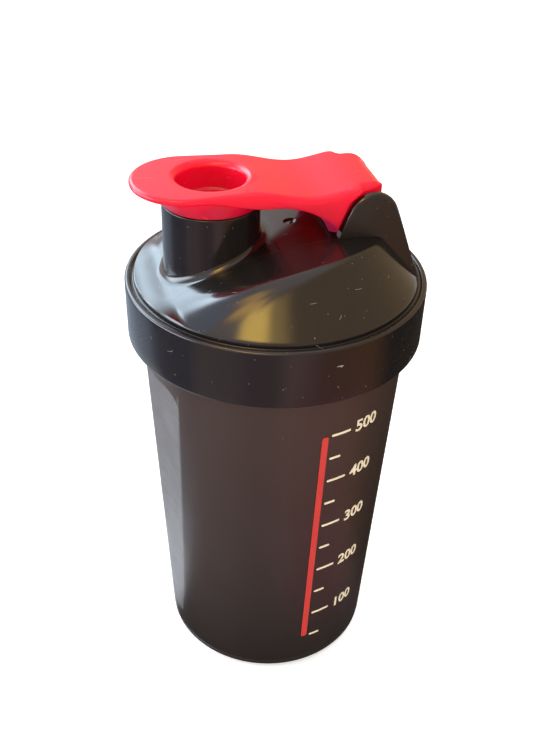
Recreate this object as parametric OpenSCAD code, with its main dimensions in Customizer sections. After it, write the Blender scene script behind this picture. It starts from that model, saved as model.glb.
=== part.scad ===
// Shaker bottle: a tapered cup with two grip flats, a domed screw lid with a pouring spout,
// a flip cap that plugs the spout, a lid gasket and a mixing grid that hangs in the lid.
// Upright along Z with the origin at the middle of the foot, spout towards -X, hinge towards +X.

/* [Cup] */
// Outer radius of the cup at the foot
cup_foot_r = 36.9; // [33:0.1:40]
// Outer radius of the cup under the collar
cup_top_r = 43.7; // [42:0.1:47]
// Height of the tapered wall, from the foot to the collar
cup_h = 129.5; // [90:0.5:180]
// Thickness of the cup's wall
cup_wall = 1.8; // [1.2:0.1:2.6]
// Thickness of the cup's floor
cup_floor = 2.2; // [1.5:0.1:4]
// Rounding of the foot's outer edge
foot_round = 3; // [1:0.5:5]
// Width of the ring that the cup stands on
foot_ring_w = 3.4; // [2:0.2:6]
// Height of the hollow inside the foot ring
foot_hollow_h = 1; // [0.5:0.1:2]

/* [Grip flats] */
// Angle of the flats from the line through spout and hinge, with the lid shut
flat_turn = 13; // [0:1:90]
// Depth of a flat at its upper end
flat_depth = 2.3; // [1:0.1:3]
// Height at which a flat fades into the taper
flat_low = 10; // [5:1:40]
// Distance from the collar down to the upper end of a flat
flat_head = 9; // [4:0.5:30]
// Width of a flat at its upper end
flat_w = 27; // [20:0.5:30]
// Rounding of the upper corners of a flat
flat_corner = 6.5; // [2:0.5:9]

/* [Screw thread] */
// Number of thread ridges
thread_starts = 2; // [1:1:3]
// Rise of the lid in one turn
thread_lead = 12; // [9:0.5:14]
// Height of a ridge above its wall
thread_h = 1.7; // [1.2:0.1:2]
// Width of a ridge at its root
thread_root_w = 2.4; // [1.8:0.1:2.6]
// Width of a ridge at its crest
thread_crest_w = 1.2; // [0.8:0.1:1.4]
// Share of a turn that each ridge of the cup runs
cup_thread_turn = 0.75; // [0.5:0.05:0.9]
// Share of a turn that each ridge of the lid runs
lid_thread_turn = 0.6; // [0.4:0.05:0.7]
// Clearance between crest and wall
thread_gap = 0.45; // [0.3:0.05:0.6]
// Clearance between the flanks of the ridges
flank_gap = 0.38; // [0.3:0.02:0.6]
// Plain neck below the cup's ridges
neck_low = 3.5; // [2.5:0.1:6]
// Plain neck above the cup's ridges
neck_head = 3.6; // [2.5:0.1:6]

/* [Lid] */
// Thickness of the collar's wall at its lower edge
collar_wall = 2.45; // [1.8:0.05:3.5]
// Growth of the collar's radius from bottom to top
collar_draft = 0.2; // [0:0.05:0.5]
// Rounding of the collar's outer edges
collar_round = 0.8; // [0.4:0.1:1.2]
// Thickness of the ledge over the gasket
ledge_t = 2; // [1.6:0.1:3]
// Width of the ledge around the dome
ledge_w = 2.9; // [2:0.1:4]
// Height of the step where the dome stands on the ledge
dome_step = 1.1; // [0.5:0.1:2]
// Slope of the dome's side from level, in degrees
dome_slope = 52; // [48:0.5:56]
// Height of the lid's top above the ledge
dome_h = 18.2; // [15:0.1:20]
// Radius of the crowned top, which curves from spout to hinge
crown_r = 100; // [90:1:130]
// Distance of the crown's highest line behind the bottle's axis
crown_x = 17; // [10:0.5:22]
// Thickness of the dome's wall
lid_wall = 2; // [1.6:0.1:2.6]
// Wall of the ring inside the lid that carries the mixing grid
ring_wall = 1.8; // [1.4:0.1:2.2]
// Depth of that ring below the gasket seat
ring_h = 7.6; // [6:0.1:9]
// Height of the groove around the foot of that ring, above the gasket seat
ring_groove_h = 4.9; // [2:0.1:5]
// Radius of the round moulding dimple on the lid's top
dimple_r = 1.9; // [1:0.1:3]
// Depth of the dimple
dimple_h = 0.6; // [0.3:0.1:1]
// Distance of the dimple behind the bottle's axis
dimple_x = 3.8; // [2:0.1:8]

/* [Gasket] */
// Thickness of the lid gasket
gasket_t = 1.3; // [1:0.1:2]
// Gap between the gasket and the cup's rim
gasket_gap = 0.2; // [0.1:0.05:0.4]

/* [Spout] */
// Distance of the spout in front of the bottle's axis
spout_x = 21; // [19:0.2:23]
// Outer radius of the spout
spout_r = 15.1; // [13:0.1:16]
// Height of the shoulder that the cap's skirt stands over, above the ledge
spout_shoulder_h = 26.9; // [24:0.1:30]
// Width of that shoulder
spout_shoulder_w = 1.1; // [0.9:0.1:1.4]
// Height of the spout's lip above its shoulder
spout_lip_h = 4.4; // [3.5:0.1:5]
// Taper of the lip's outside
spout_lip_taper = 0.3; // [0.2:0.05:0.5]
// Wall of the spout at the lip
spout_wall = 1.4; // [1.1:0.1:1.8]

/* [Hinge] */
// Distance of the hinge axis behind the bottle's axis
hinge_x = 25.8; // [24:0.2:28]
// Height of the hinge axis above the ledge
hinge_h = 23.8; // [23:0.1:25]
// Radius of the round head of an ear
ear_r = 7.9; // [7:0.1:8.5]
// Thickness of an ear
ear_t = 2.8; // [2.4:0.1:3.5]
// Lean of an ear's front edge from upright, in degrees
ear_front_lean = 22; // [15:1:26]
// Lean of an ear's back edge from upright, in degrees
ear_back_lean = 19.8; // [15:0.2:24]
// Width of the cap's tongue between the ears
tongue_w = 26.6; // [22:0.2:28]
// Gap between the tongue and an ear
side_gap = 0.3; // [0.2:0.05:0.5]
// Radius of a pivot
pivot_r = 2.45; // [1.8:0.05:3]
// Radial clearance of a pivot in its socket
pivot_gap = 0.05; // [0.02:0.01:0.09]
// Depth of a pivot's socket in the ear
socket_h = 1.9; // [1.2:0.1:2]
// Gap at the end of a pivot
pivot_end_gap = 0.2; // [0.1:0.05:0.4]

/* [Flip cap] */
// Thickness of the cap over the spout's lip
cap_skin = 2.85; // [2:0.05:3.5]
// Gap between the spout's lip and the cap
lip_gap = 0.6; // [0.3:0.1:0.8]
// Reach of the thumb tab in front of the spout
tab_reach = 9.4; // [6:0.1:11]
// Radius of the thumb tab's round end
tab_r = 16.8; // [16.5:0.1:18.5]
// Thickness of the thumb tab's edge
tab_t = 2.2; // [1.8:0.1:2.6]
// Half width of the arm at its waist
waist_w = 15.8; // [14:0.1:16]
// Half width of the arm in front of the ears
root_w = 15.9; // [15:0.1:16.4]
// Depth of the saddle in the arm, below the cap's top
saddle_h = 3.2; // [1:0.1:4]
// Distance from the spout's axis back to the start of the saddle
saddle_start = 8; // [4:0.5:10]
// Distance from the hinge axis forward to the saddle's lowest line
saddle_reach = 18.3; // [15:0.1:20]
// Distance from the hinge axis forward to the top of the hump
hump_reach = 2.8; // [1:0.1:5]
// Drop of the hump over the hinge, below the cap's top
hump_drop = 1.2; // [0.8:0.1:2]
// Height of the arm's side wall beside the spout
arm_side_h = 5.5; // [4.5:0.1:6]
// Radius of the arch under the arm
arch_r = 26.5; // [24:0.5:32]
// Distance from the hinge axis forward to the top of the arch
arch_reach = 30.8; // [28:0.2:33]
// Length of the arch from its top to its lower end
arch_span = 19.9; // [17:0.1:20]
// Length of solid arm in front of the ears
arm_root_t = 4; // [2:0.5:6]
// Thickness of the arm's top over its hollow
arm_skin = 2.4; // [1.8:0.1:3]
// Thickness of the arm's side walls
arm_wall = 1.8; // [1.4:0.1:2.4]
// Radius of the tongue round the pivots
knuckle_r = 5.2; // [4.6:0.1:5.4]
// Rounding of the tongue's upper back edge
nose_r = 4.8; // [4:0.1:5]
// Rounding of the tongue's back corners, seen from above
nose_corner = 8; // [2:0.5:10]
// Gap between the arm and the front of the ears
ear_gap = 0.4; // [0.3:0.05:0.6]
// Angle in front of upright at which the arm stops wrapping the ears' heads
ear_wrap = 24; // [22:1:40]
// Gap between the skirt and the spout's lip
skirt_gap = 0.35; // [0.3:0.05:0.5]
// Wall of the skirt at its lower edge
skirt_wall = 0.9; // [0.7:0.05:1.2]
// Flare of the skirt's outside from its lower edge to the cap
skirt_flare = 1.75; // [1:0.05:2.5]
// Gap between the skirt and the spout's shoulder
skirt_end_gap = 0.3; // [0.2:0.05:0.5]
// Gap between the plug and the spout's bore at the cap
plug_gap = 0.4; // [0.35:0.05:0.6]
// Length of the plug below the cap
plug_h = 7.5; // [5:0.1:8]
// Taper of the plug's outside
plug_taper = 0.8; // [0.7:0.05:1.2]
// Wall of the plug
plug_wall = 1.3; // [1:0.05:1.6]
// Rounding of the mouth of the plug's hollow
mouth_round = 2.1; // [0.6:0.05:2.3]

/* [Mixing grid] */
// Gap between the grid and the cup's neck
grid_gap = 0.5; // [0.4:0.05:0.8]
// Wall of the grid's rim
grid_rim_wall = 1.45; // [1.2:0.05:2]
// Thickness of the grid's plate
grid_t = 2; // [1.5:0.1:3]
// Width of a square hole
grid_hole = 6; // [4:0.5:8]
// Width of a bar between holes
grid_bar = 1.6; // [1.2:0.1:2.5]
// Clearance between the grid's rim and the lid's ring
clip_gap = 0.35; // [0.3:0.05:0.45]
// Height of the ring's bead over its wall
bead_h = 0.8; // [0.7:0.05:1]
// Width of the bead and of the rim's lip
bead_w = 1.2; // [1:0.1:1.6]

/* [Hidden] */
$fn = 96;
far = 200;
over = 1;
embed = 0.6;
thread_step = 10;
thread_fade = 25;
thread_bury = 0.3;
arc_steps = 8;
curve_steps = 14;

// Heights along the bottle
thread_low_z = cup_h + neck_low;
rim_z = thread_low_z + thread_lead * cup_thread_turn + neck_head;
seat_z = rim_z + gasket_gap + gasket_t;
ledge_z = seat_z + ledge_t;
dome_z = ledge_z + dome_step;
top_z = ledge_z + dome_h;
shoulder_z = ledge_z + spout_shoulder_h;
lip_z = shoulder_z + spout_lip_h;
hinge_z = ledge_z + hinge_h;
cap_under_z = lip_z + lip_gap;
cap_top_z = cap_under_z + cap_skin;
cup_inside_z = foot_hollow_h + cup_floor;

// Radii from the cup's neck outwards and inwards
neck_in_r = cup_top_r - cup_wall;
collar_in_r = cup_top_r + thread_h + thread_gap;
collar_low_r = collar_in_r + collar_wall;
collar_top_r = collar_low_r + collar_draft;
dome_r = collar_top_r - ledge_w;
grid_r = neck_in_r - grid_gap;
grid_in_r = grid_r - grid_rim_wall;
bead_r = grid_in_r - clip_gap;
ring_r = bead_r - bead_h;
ring_in_r = ring_r - ring_wall;
ring_z = seat_z - ring_h;
gasket_in_r = neck_in_r - clip_gap;
gasket_out_r = collar_in_r - clip_gap;
groove_out_r = gasket_in_r - clip_gap;

// Taper of the cup, and the plane of a flat that runs out into it
function cup_r(z) = cup_foot_r + (cup_top_r - cup_foot_r) * z / cup_h;
flat_high = cup_h - flat_head;
flat_low_d = cup_r(flat_low);
flat_high_d = cup_r(flat_high) - flat_depth;
flat_lean = atan((flat_high_d - flat_low_d) / (flat_high - flat_low));

// Spout and the parts of the cap that fit it
spout_lip_r = spout_r - spout_shoulder_w;
spout_bore_r = spout_lip_r - spout_lip_taper - spout_wall;
skirt_in_r = spout_lip_r + skirt_gap;
skirt_low_r = skirt_in_r + skirt_wall;
skirt_z = shoulder_z + skirt_end_gap;
plug_r = spout_bore_r - plug_gap;
plug_z = cap_under_z - plug_h;
plug_tip_r = plug_r - plug_taper;

// Cap outline along X
tab_tip_x = -spout_x - spout_r - tab_reach;
tab_x = tab_tip_x + tab_r;
saddle_start_x = -spout_x + saddle_start;
saddle_x = hinge_x - saddle_reach;
hump_x = hinge_x - hump_reach;
saddle_z = cap_top_z - saddle_h;
hump_z = cap_top_z - hump_drop;
nose_z = hump_z - nose_r;
side_z = cap_top_z - arm_side_h;
arch_x = hinge_x - arch_reach;
ear_in_y = tongue_w / 2 + side_gap;
ear_out_y = ear_in_y + ear_t;
root_x = hinge_x - ear_r;
wide_x = hinge_x - (ear_r + ear_gap) * sin(ear_wrap);
tab_under_z = cap_top_z - tab_t;
skirt_top_z = max(cap_under_z, tab_under_z) + embed;

// Straight cut of the ears' edges and of the room around them
function ear_front(grow) = [-cos(ear_front_lean), sin(ear_front_lean)] * (ear_r + grow);
function ear_back(grow) = [cos(ear_back_lean), sin(ear_back_lean)] * (ear_r + grow);

// Smooth step from 0 to 1
function ease(t) = (1 - cos(180 * min(max(t, 0), 1))) / 2;
function blend(x, x0, x1, z0, z1) = z0 + (z1 - z0) * ease((x - x0) / (x1 - x0));

// Points of an arc around a centre, from one angle to another
function arc(centre, r, a0, a1, steps = arc_steps) =
    [for (i = [0:steps]) centre + r * [cos(a0 + (a1 - a0) * i / steps), sin(a0 + (a1 - a0) * i / steps)]];

// A list of places along X
function places(x0, x1, steps = curve_steps) = [for (i = [0:steps]) x0 + (x1 - x0) * i / steps];

// Height of the cap's top along X
function cap_z(x) = x < saddle_x ? blend(x, saddle_start_x, saddle_x, cap_top_z, saddle_z)
    : blend(x, saddle_x, hump_x, saddle_z, hump_z);

// Height of the arm's lower edge along X
function arm_low_z(x) = x < arch_x ? blend(x, tab_x, arch_x, tab_under_z, side_z)
    : side_z - arch_r + sqrt(pow(arch_r, 2) - pow(x - arch_x, 2));

// Half width of the arm along X
function arm_w(x) = x < saddle_x
    ? waist_w + (tab_r - waist_w) * pow((saddle_x - x) / (saddle_x - tab_x), 2)
    : waist_w + (root_w - waist_w) * pow((x - saddle_x) / (root_x - saddle_x), 2);

// Outline in X and Z, drawn out along Y
module along_y(y0, y1) {
    translate([0, y1, 0]) rotate([90, 0, 0]) linear_extrude(y1 - y0) children();
}

// Both sides of the mirror plane
module both_sides() {
    children();
    mirror([0, 1, 0]) children();
}

// Helical ridges on a wall: side 1 grows outwards, side -1 inwards, and both ends fade out
module thread(wall_r, side, low_z, turn) {
    sweep = 360 * turn;
    count = ceil(sweep / thread_step);
    function rise(a) = min(1, a / thread_fade, (sweep - a) / thread_fade);
    function crest(a) = wall_r + side * (rise(a) * (thread_h + thread_bury) - thread_bury);
    function section(a) = let (
        z = low_z + thread_lead * a / 360,
        root = wall_r - side * embed,
        four = [
            [root, z - thread_root_w / 2], [crest(a), z - thread_crest_w / 2],
            [crest(a), z + thread_crest_w / 2], [root, z + thread_root_w / 2]])
        side > 0 ? four : [four[3], four[2], four[1], four[0]];
    points = [for (i = [0:count], p = section(sweep * i / count))
        let (a = sweep * i / count) [p[0] * cos(a), p[0] * sin(a), p[1]]];
    sides = [for (i = [0:count - 1], j = [0:3])
        [4 * i + j, 4 * i + (j + 1) % 4, 4 * i + 4 + (j + 1) % 4, 4 * i + 4 + j]];
    ends = [[3, 2, 1, 0], [for (j = [0:3]) 4 * count + j]];
    for (k = [0:thread_starts - 1]) rotate([0, 0, 360 * k / thread_starts])
        polyhedron(points, concat(sides, ends));
}

// Block that cuts one grip flat, with its face moved inwards and its outline grown by the given depth
module flat_block(inward) {
    half = flat_w / 2 + inward;
    corner = flat_corner + inward;
    high = flat_high + inward;
    rotate([0, 0, flat_turn]) translate([flat_low_d - inward, 0, flat_low]) rotate([0, flat_lean, 0])
        translate([0, 0, -flat_low]) rotate([90, 0, 90]) linear_extrude(far) {
            translate([-half, -far]) square([2 * half, far + high - corner]);
            translate([-half + corner, 0]) square([2 * (half - corner), high]);
            for (s = [-1, 1]) translate([s * (half - corner), high - corner]) circle(r = corner);
        }
}

// Both flats, opposite each other
module flat_blocks(inward) {
    for (a = [0, 180]) rotate([0, 0, a]) flat_block(inward);
}

// Cup: tapered wall with a foot ring, two flats and a threaded neck
module cup() color("#2b2422") {
    difference() {
        union() {
            rotate_extrude() polygon(concat(
                [[0, 0], [cup_foot_r - foot_round, 0]],
                arc([cup_r(foot_round) - foot_round, foot_round], foot_round, -90, 0),
                [[cup_top_r, cup_h], [cup_top_r, rim_z], [0, rim_z]]));
            thread(cup_top_r, 1, thread_low_z, cup_thread_turn);
        }
        difference() {
            rotate_extrude() polygon([
                [0, cup_inside_z], [cup_r(cup_inside_z) - cup_wall - foot_round, cup_inside_z],
                [cup_r(cup_inside_z + foot_round) - cup_wall, cup_inside_z + foot_round],
                [neck_in_r, cup_h], [neck_in_r, far], [0, far]]);
            flat_blocks(cup_wall);
        }
        flat_blocks(0);
        translate([0, 0, -far]) cylinder(r = cup_foot_r - foot_round - foot_ring_w, h = far + foot_hollow_h);
    }
}

// Mixing grid: plate of square holes with a rim whose lip hangs on the lid's bead
module mixing_grid() color("#1d1b1c") {
    pitch = grid_hole + grid_bar;
    reach = floor(grid_in_r / pitch);
    plate_z = ring_z - clip_gap - grid_t;
    lip_z0 = ring_z + bead_w + clip_gap;
    translate([0, 0, plate_z]) linear_extrude(grid_t) difference() {
        circle(r = grid_r);
        for (i = [-reach:reach], j = [-reach:reach])
            if (norm([abs(i) * pitch + grid_hole / 2, abs(j) * pitch + grid_hole / 2]) < grid_in_r)
                translate([i * pitch, j * pitch]) square(grid_hole, center = true);
    }
    rotate_extrude() polygon([
        [grid_in_r, plate_z + grid_t / 2], [grid_r, plate_z + grid_t / 2], [grid_r, lip_z0 + bead_w],
        [ring_r + clip_gap, lip_z0 + bead_w], [ring_r + clip_gap, lip_z0], [grid_in_r, lip_z0]]);
}

// Lid gasket: flat ring over the cup's rim
module lid_gasket() color("#b9b9b6") {
    translate([0, 0, seat_z - gasket_t]) difference() {
        cylinder(r = gasket_out_r, h = gasket_t);
        translate([0, 0, -over]) cylinder(r = gasket_in_r, h = far);
    }
}

// Solid under the crowned top, made thinner all round by the given depth
module crown(inward) {
    translate([crown_x, 0, top_z - crown_r]) rotate([90, 0, 0])
        cylinder(r = crown_r - inward, h = far, center = true, $fn = 240);
}

// Outline of a hinge ear, grown all round by the given gap
module ear_outline(grow) {
    front = ear_front(grow);
    back = ear_back(grow);
    drop = hinge_z - ledge_z + embed;
    centre = [hinge_x, hinge_z];
    translate(centre) circle(r = ear_r + grow);
    polygon([
        centre, centre + front, centre + front - (drop + front[1]) * [tan(ear_front_lean), 1],
        centre + back - (drop + back[1]) * [-tan(ear_back_lean), 1], centre + back]);
}

// Outside of the lid: collar, ledge, dome, spout and ears
module lid_body() {
    rise = dome_r * tan(dome_slope);
    rotate_extrude() polygon(concat(
        [[0, cup_h]],
        arc([collar_low_r - collar_round, cup_h + collar_round], collar_round, -90, 0),
        arc([collar_top_r - collar_round, ledge_z - collar_round], collar_round, 0, 90),
        [[0, ledge_z]]));
    intersection() {
        union() {
            translate([0, 0, ledge_z - embed]) cylinder(r = dome_r, h = dome_step + embed);
            translate([0, 0, dome_z]) cylinder(r1 = dome_r, r2 = 0, h = rise);
        }
        crown(0);
    }
    translate([-spout_x, 0, ledge_z]) cylinder(r = spout_r, h = spout_shoulder_h);
    translate([-spout_x, 0, shoulder_z - embed])
        cylinder(r1 = spout_lip_r, r2 = spout_lip_r - spout_lip_taper, h = spout_lip_h + embed);
    intersection() {
        both_sides() along_y(ear_in_y, ear_out_y) ear_outline(0);
        cylinder(r = dome_r, h = far);
    }
}

// Inside of the dome, within the ring that carries the grid
module lid_hollow() {
    slant = lid_wall / sin(dome_slope);
    rise = (dome_r - slant) * tan(dome_slope);
    intersection() {
        union() {
            translate([0, 0, cup_h - over]) cylinder(r = ring_in_r, h = far);
            difference() {
                cylinder(r = groove_out_r, h = seat_z + ring_groove_h);
                cylinder(r = ring_r, h = far);
            }
        }
        union() {
            cylinder(r = dome_r - slant, h = dome_z);
            translate([0, 0, dome_z]) cylinder(r1 = dome_r - slant, r2 = 0, h = rise);
        }
        crown(lid_wall);
    }
}

// Screw lid: collar with thread, crowned dome, spout, hinge ears and the ring for the grid
module screw_lid() color("#141416") {
    flank_w = (thread_root_w - thread_crest_w) / 2 * (1 + thread_gap / thread_h);
    seat_drop = thread_root_w - flank_w + flank_gap;
    difference() {
        lid_body();
        translate([0, 0, cup_h - over]) difference() {
            cylinder(r = collar_in_r, h = seat_z - cup_h + over);
            translate([0, 0, ring_z - cup_h + over]) cylinder(r = ring_r, h = far);
        }
        lid_hollow();
        translate([-spout_x, 0, seat_z]) cylinder(r = spout_bore_r, h = far);
        translate([dimple_x, 0, 0]) intersection() {
            cylinder(r = dimple_r, h = far);
            translate([-dimple_x, 0, 0]) difference() {
                cylinder(r = dome_r, h = far);
                crown(dimple_h);
            }
        }
        both_sides() translate([hinge_x, ear_in_y - over, hinge_z]) rotate([-90, 0, 0])
            cylinder(r = pivot_r + pivot_gap, h = socket_h + over);
    }
    translate([0, 0, ring_z]) difference() {
        cylinder(r = bead_r, h = bead_w);
        translate([0, 0, -over]) cylinder(r = ring_in_r, h = far);
    }
    thread(collar_in_r, -1, thread_low_z - seat_drop, lid_thread_turn);
}

// Cap seen from above
module cap_plan() {
    xs = places(tab_x, wide_x);
    back_x = hinge_x + max(knuckle_r, nose_r);
    translate([tab_x, 0]) circle(r = tab_r);
    polygon(concat(
        [for (x = xs) [x, arm_w(x)]],
        [for (x = xs) [tab_x + wide_x - x, -arm_w(tab_x + wide_x - x)]]));
    half = tongue_w / 2;
    translate([saddle_x, -half]) square([back_x - nose_corner - saddle_x, tongue_w]);
    translate([back_x - nose_corner, -half + nose_corner]) square([nose_corner, tongue_w - 2 * nose_corner]);
    for (s = [-1, 1]) translate([back_x - nose_corner, s * (half - nose_corner)]) circle(r = nose_corner);
}

// Cap seen from the side: flat tab, saddle, hump over the hinge, arched underside
module cap_side() {
    tops = places(saddle_start_x, hump_x);
    lows = places(tab_x, arch_x + arch_span);
    count = len(lows);
    polygon(concat(
        [[tab_tip_x, cap_top_z]],
        [for (x = tops) [x, cap_z(x)]],
        [[hinge_x, hump_z], [hinge_x, hinge_z - knuckle_r]],
        [for (i = [1:count]) [lows[count - i], arm_low_z(lows[count - i])]],
        [[tab_tip_x, tab_under_z]]));
    translate([hinge_x, hinge_z]) circle(r = knuckle_r);
    translate([hinge_x, nose_z]) circle(r = nose_r);
    polygon([
        [hinge_x, hinge_z], [hinge_x + knuckle_r, hinge_z],
        [hinge_x + nose_r, nose_z], [hinge_x, nose_z]]);
}

// Hollow under the arm, between the skirt and the tongue
module arm_hollow() {
    x0 = -spout_x + skirt_low_r + skirt_flare + over;
    x1 = root_x - arm_root_t;
    xs = places(x0, x1);
    intersection() {
        linear_extrude(far + far) polygon(concat(
            [for (x = xs) [x, arm_w(x) - arm_wall]],
            [for (x = xs) [x0 + x1 - x, arm_wall - arm_w(x0 + x1 - x)]]));
        along_y(-far, far) polygon(concat(
            [for (x = xs) [x, cap_z(x) - arm_skin]], [[x1, 0], [x0, 0]]));
    }
}

// Room that the cap leaves for the ears, in front of them and above them
module ear_room() {
    both_sides() along_y(tongue_w / 2, far) {
        ear_outline(ear_gap);
        translate([wide_x, hinge_z]) square(far);
    }
}

// Flip cap: thumb tab, plug and skirt for the spout, arm and hinge tongue with its pivots
module flip_cap() color("#e0202c") {
    hollow_r = plug_r - plug_wall;
    hollow_tip_r = plug_tip_r - plug_wall;
    difference() {
        union() {
            difference() {
                intersection() {
                    linear_extrude(far + far) cap_plan();
                    along_y(-far, far) cap_side();
                }
                ear_room();
                arm_hollow();
            }
            intersection() {
                translate([-spout_x, 0, skirt_z])
                    cylinder(r1 = skirt_low_r, r2 = skirt_low_r + skirt_flare, h = skirt_top_z - skirt_z);
                linear_extrude(far + far) cap_plan();
            }
        }
        translate([-spout_x, 0, 0]) cylinder(r = skirt_in_r, h = cap_under_z);
        translate([-spout_x, 0, 0]) rotate_extrude() polygon(concat(
            [[0, cap_under_z - embed], [hollow_r, cap_under_z - embed]],
            arc([hollow_r + mouth_round, cap_top_z - mouth_round], mouth_round, 180, 90),
            [[hollow_r + mouth_round, far + far], [0, far + far]]));
    }
    translate([-spout_x, 0, 0]) rotate_extrude() polygon([
        [0, plug_z], [plug_tip_r, plug_z], [plug_r, cap_under_z], [plug_r, cap_under_z + embed],
        [hollow_r, cap_under_z + embed], [hollow_tip_r, plug_z + plug_wall], [0, plug_z + plug_wall]]);
    both_sides() translate([hinge_x, 0, hinge_z]) rotate([-90, 0, 0])
        cylinder(r = pivot_r, h = ear_in_y + socket_h - pivot_end_gap);
}

cup();
mixing_grid();
lid_gasket();
screw_lid();
flip_cap();
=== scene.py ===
"""Shaker bottle: a cup with grip flats and a printed scale, a domed screw lid and a flip cap."""

from math import acos, atan2, cos, degrees, exp, hypot, pi, radians, sin, sqrt, tan
from types import SimpleNamespace

import bmesh
import bpy
from bpy.props import FloatProperty, FloatVectorProperty, PointerProperty
from mathutils import Matrix, Vector


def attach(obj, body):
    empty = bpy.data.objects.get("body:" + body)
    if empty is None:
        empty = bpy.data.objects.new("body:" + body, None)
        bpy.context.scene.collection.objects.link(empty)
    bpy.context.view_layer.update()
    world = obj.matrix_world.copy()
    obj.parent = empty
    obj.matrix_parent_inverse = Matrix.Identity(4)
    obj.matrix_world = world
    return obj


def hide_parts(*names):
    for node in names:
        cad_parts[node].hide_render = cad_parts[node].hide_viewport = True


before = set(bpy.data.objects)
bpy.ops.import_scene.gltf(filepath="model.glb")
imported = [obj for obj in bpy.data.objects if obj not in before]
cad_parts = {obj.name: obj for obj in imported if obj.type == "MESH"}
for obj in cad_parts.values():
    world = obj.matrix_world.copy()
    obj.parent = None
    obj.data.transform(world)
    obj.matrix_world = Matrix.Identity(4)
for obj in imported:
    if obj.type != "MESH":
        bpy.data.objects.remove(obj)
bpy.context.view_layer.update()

bl_info = {
    "name": "Shaker Bottle",
    "version": (1, 0, 0),
    "blender": (4, 5, 0),
    "location": "View3D > Sidebar > Shaker",
    "description": "Models a shaker bottle with a screw lid and a flip cap around its packed solids",
    "category": "Add Mesh",
}

MM = 0.001


# Sizes and colours that a user can change

def length(name, about, mm):
    """A length property whose default is given in millimetres."""
    return FloatProperty(name=name, description=about, default=mm * MM, unit="LENGTH", precision=5)


def angle(name, about, turn):
    """An angle property whose default is given in degrees."""
    return FloatProperty(name=name, description=about, default=radians(turn), subtype="ANGLE")


def colour(name, about, red, green, blue):
    """A colour property."""
    return FloatVectorProperty(
        name=name, description=about, default=(red, green, blue), subtype="COLOR", size=3, min=0, max=1)


class CupSizes(bpy.types.PropertyGroup):
    """Sizes of the cup"""
    cup_foot_r: length("Foot radius", "Outer radius of the cup at the foot", 36.9)
    cup_top_r: length("Top radius", "Outer radius of the cup under the collar", 43.7)
    cup_h: length("Wall height", "Height of the tapered wall, up to the collar", 129.5)
    cup_wall: length("Wall", "Thickness of the cup's wall", 1.8)
    cup_floor: length("Floor", "Thickness of the cup's floor", 2.2)
    foot_round: length("Foot rounding", "Rounding of the foot's outer edge", 3)
    foot_ring_w: length("Foot ring", "Width of the ring that the cup stands on", 3.4)
    foot_hollow_h: length("Foot hollow", "Height of the hollow inside the foot ring", 1)
    foot_line_z: length("Foot line", "Height of the shallow groove around the foot", 3.1)
    foot_line_h: length("Foot line depth", "Depth of the groove around the foot", 0.35)
    foot_line_w: length("Foot line width", "Half width of the groove around the foot", 0.32)
    rim_z: length("Rim height", "Height of the cup's rim", 145.6)
    flat_turn: angle("Flat turn", "Angle of the grip flats from the line through spout and hinge", 13)
    flat_depth: length("Flat depth", "Depth of a flat at its upper end", 2.3)
    flat_low: length("Flat foot", "Height at which a flat fades into the taper", 10)
    flat_high: length("Flat head", "Height of the upper end of a flat", 120.5)
    flat_w: length("Flat width", "Width of a flat at its upper end", 27)
    flat_corner: length("Flat corner", "Rounding of the upper corners of a flat", 6.5)
    thread_low_z: length("Thread foot", "Height at which the cup's thread starts", 133)
    thread_lead: length("Thread lead", "Rise of the lid in one turn", 12)
    thread_h: length("Thread height", "Height of a ridge above its wall", 1.7)
    thread_root_w: length("Thread root", "Width of a ridge at its root", 2.4)
    thread_crest_w: length("Thread crest", "Width of a ridge at its crest", 1.2)


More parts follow.
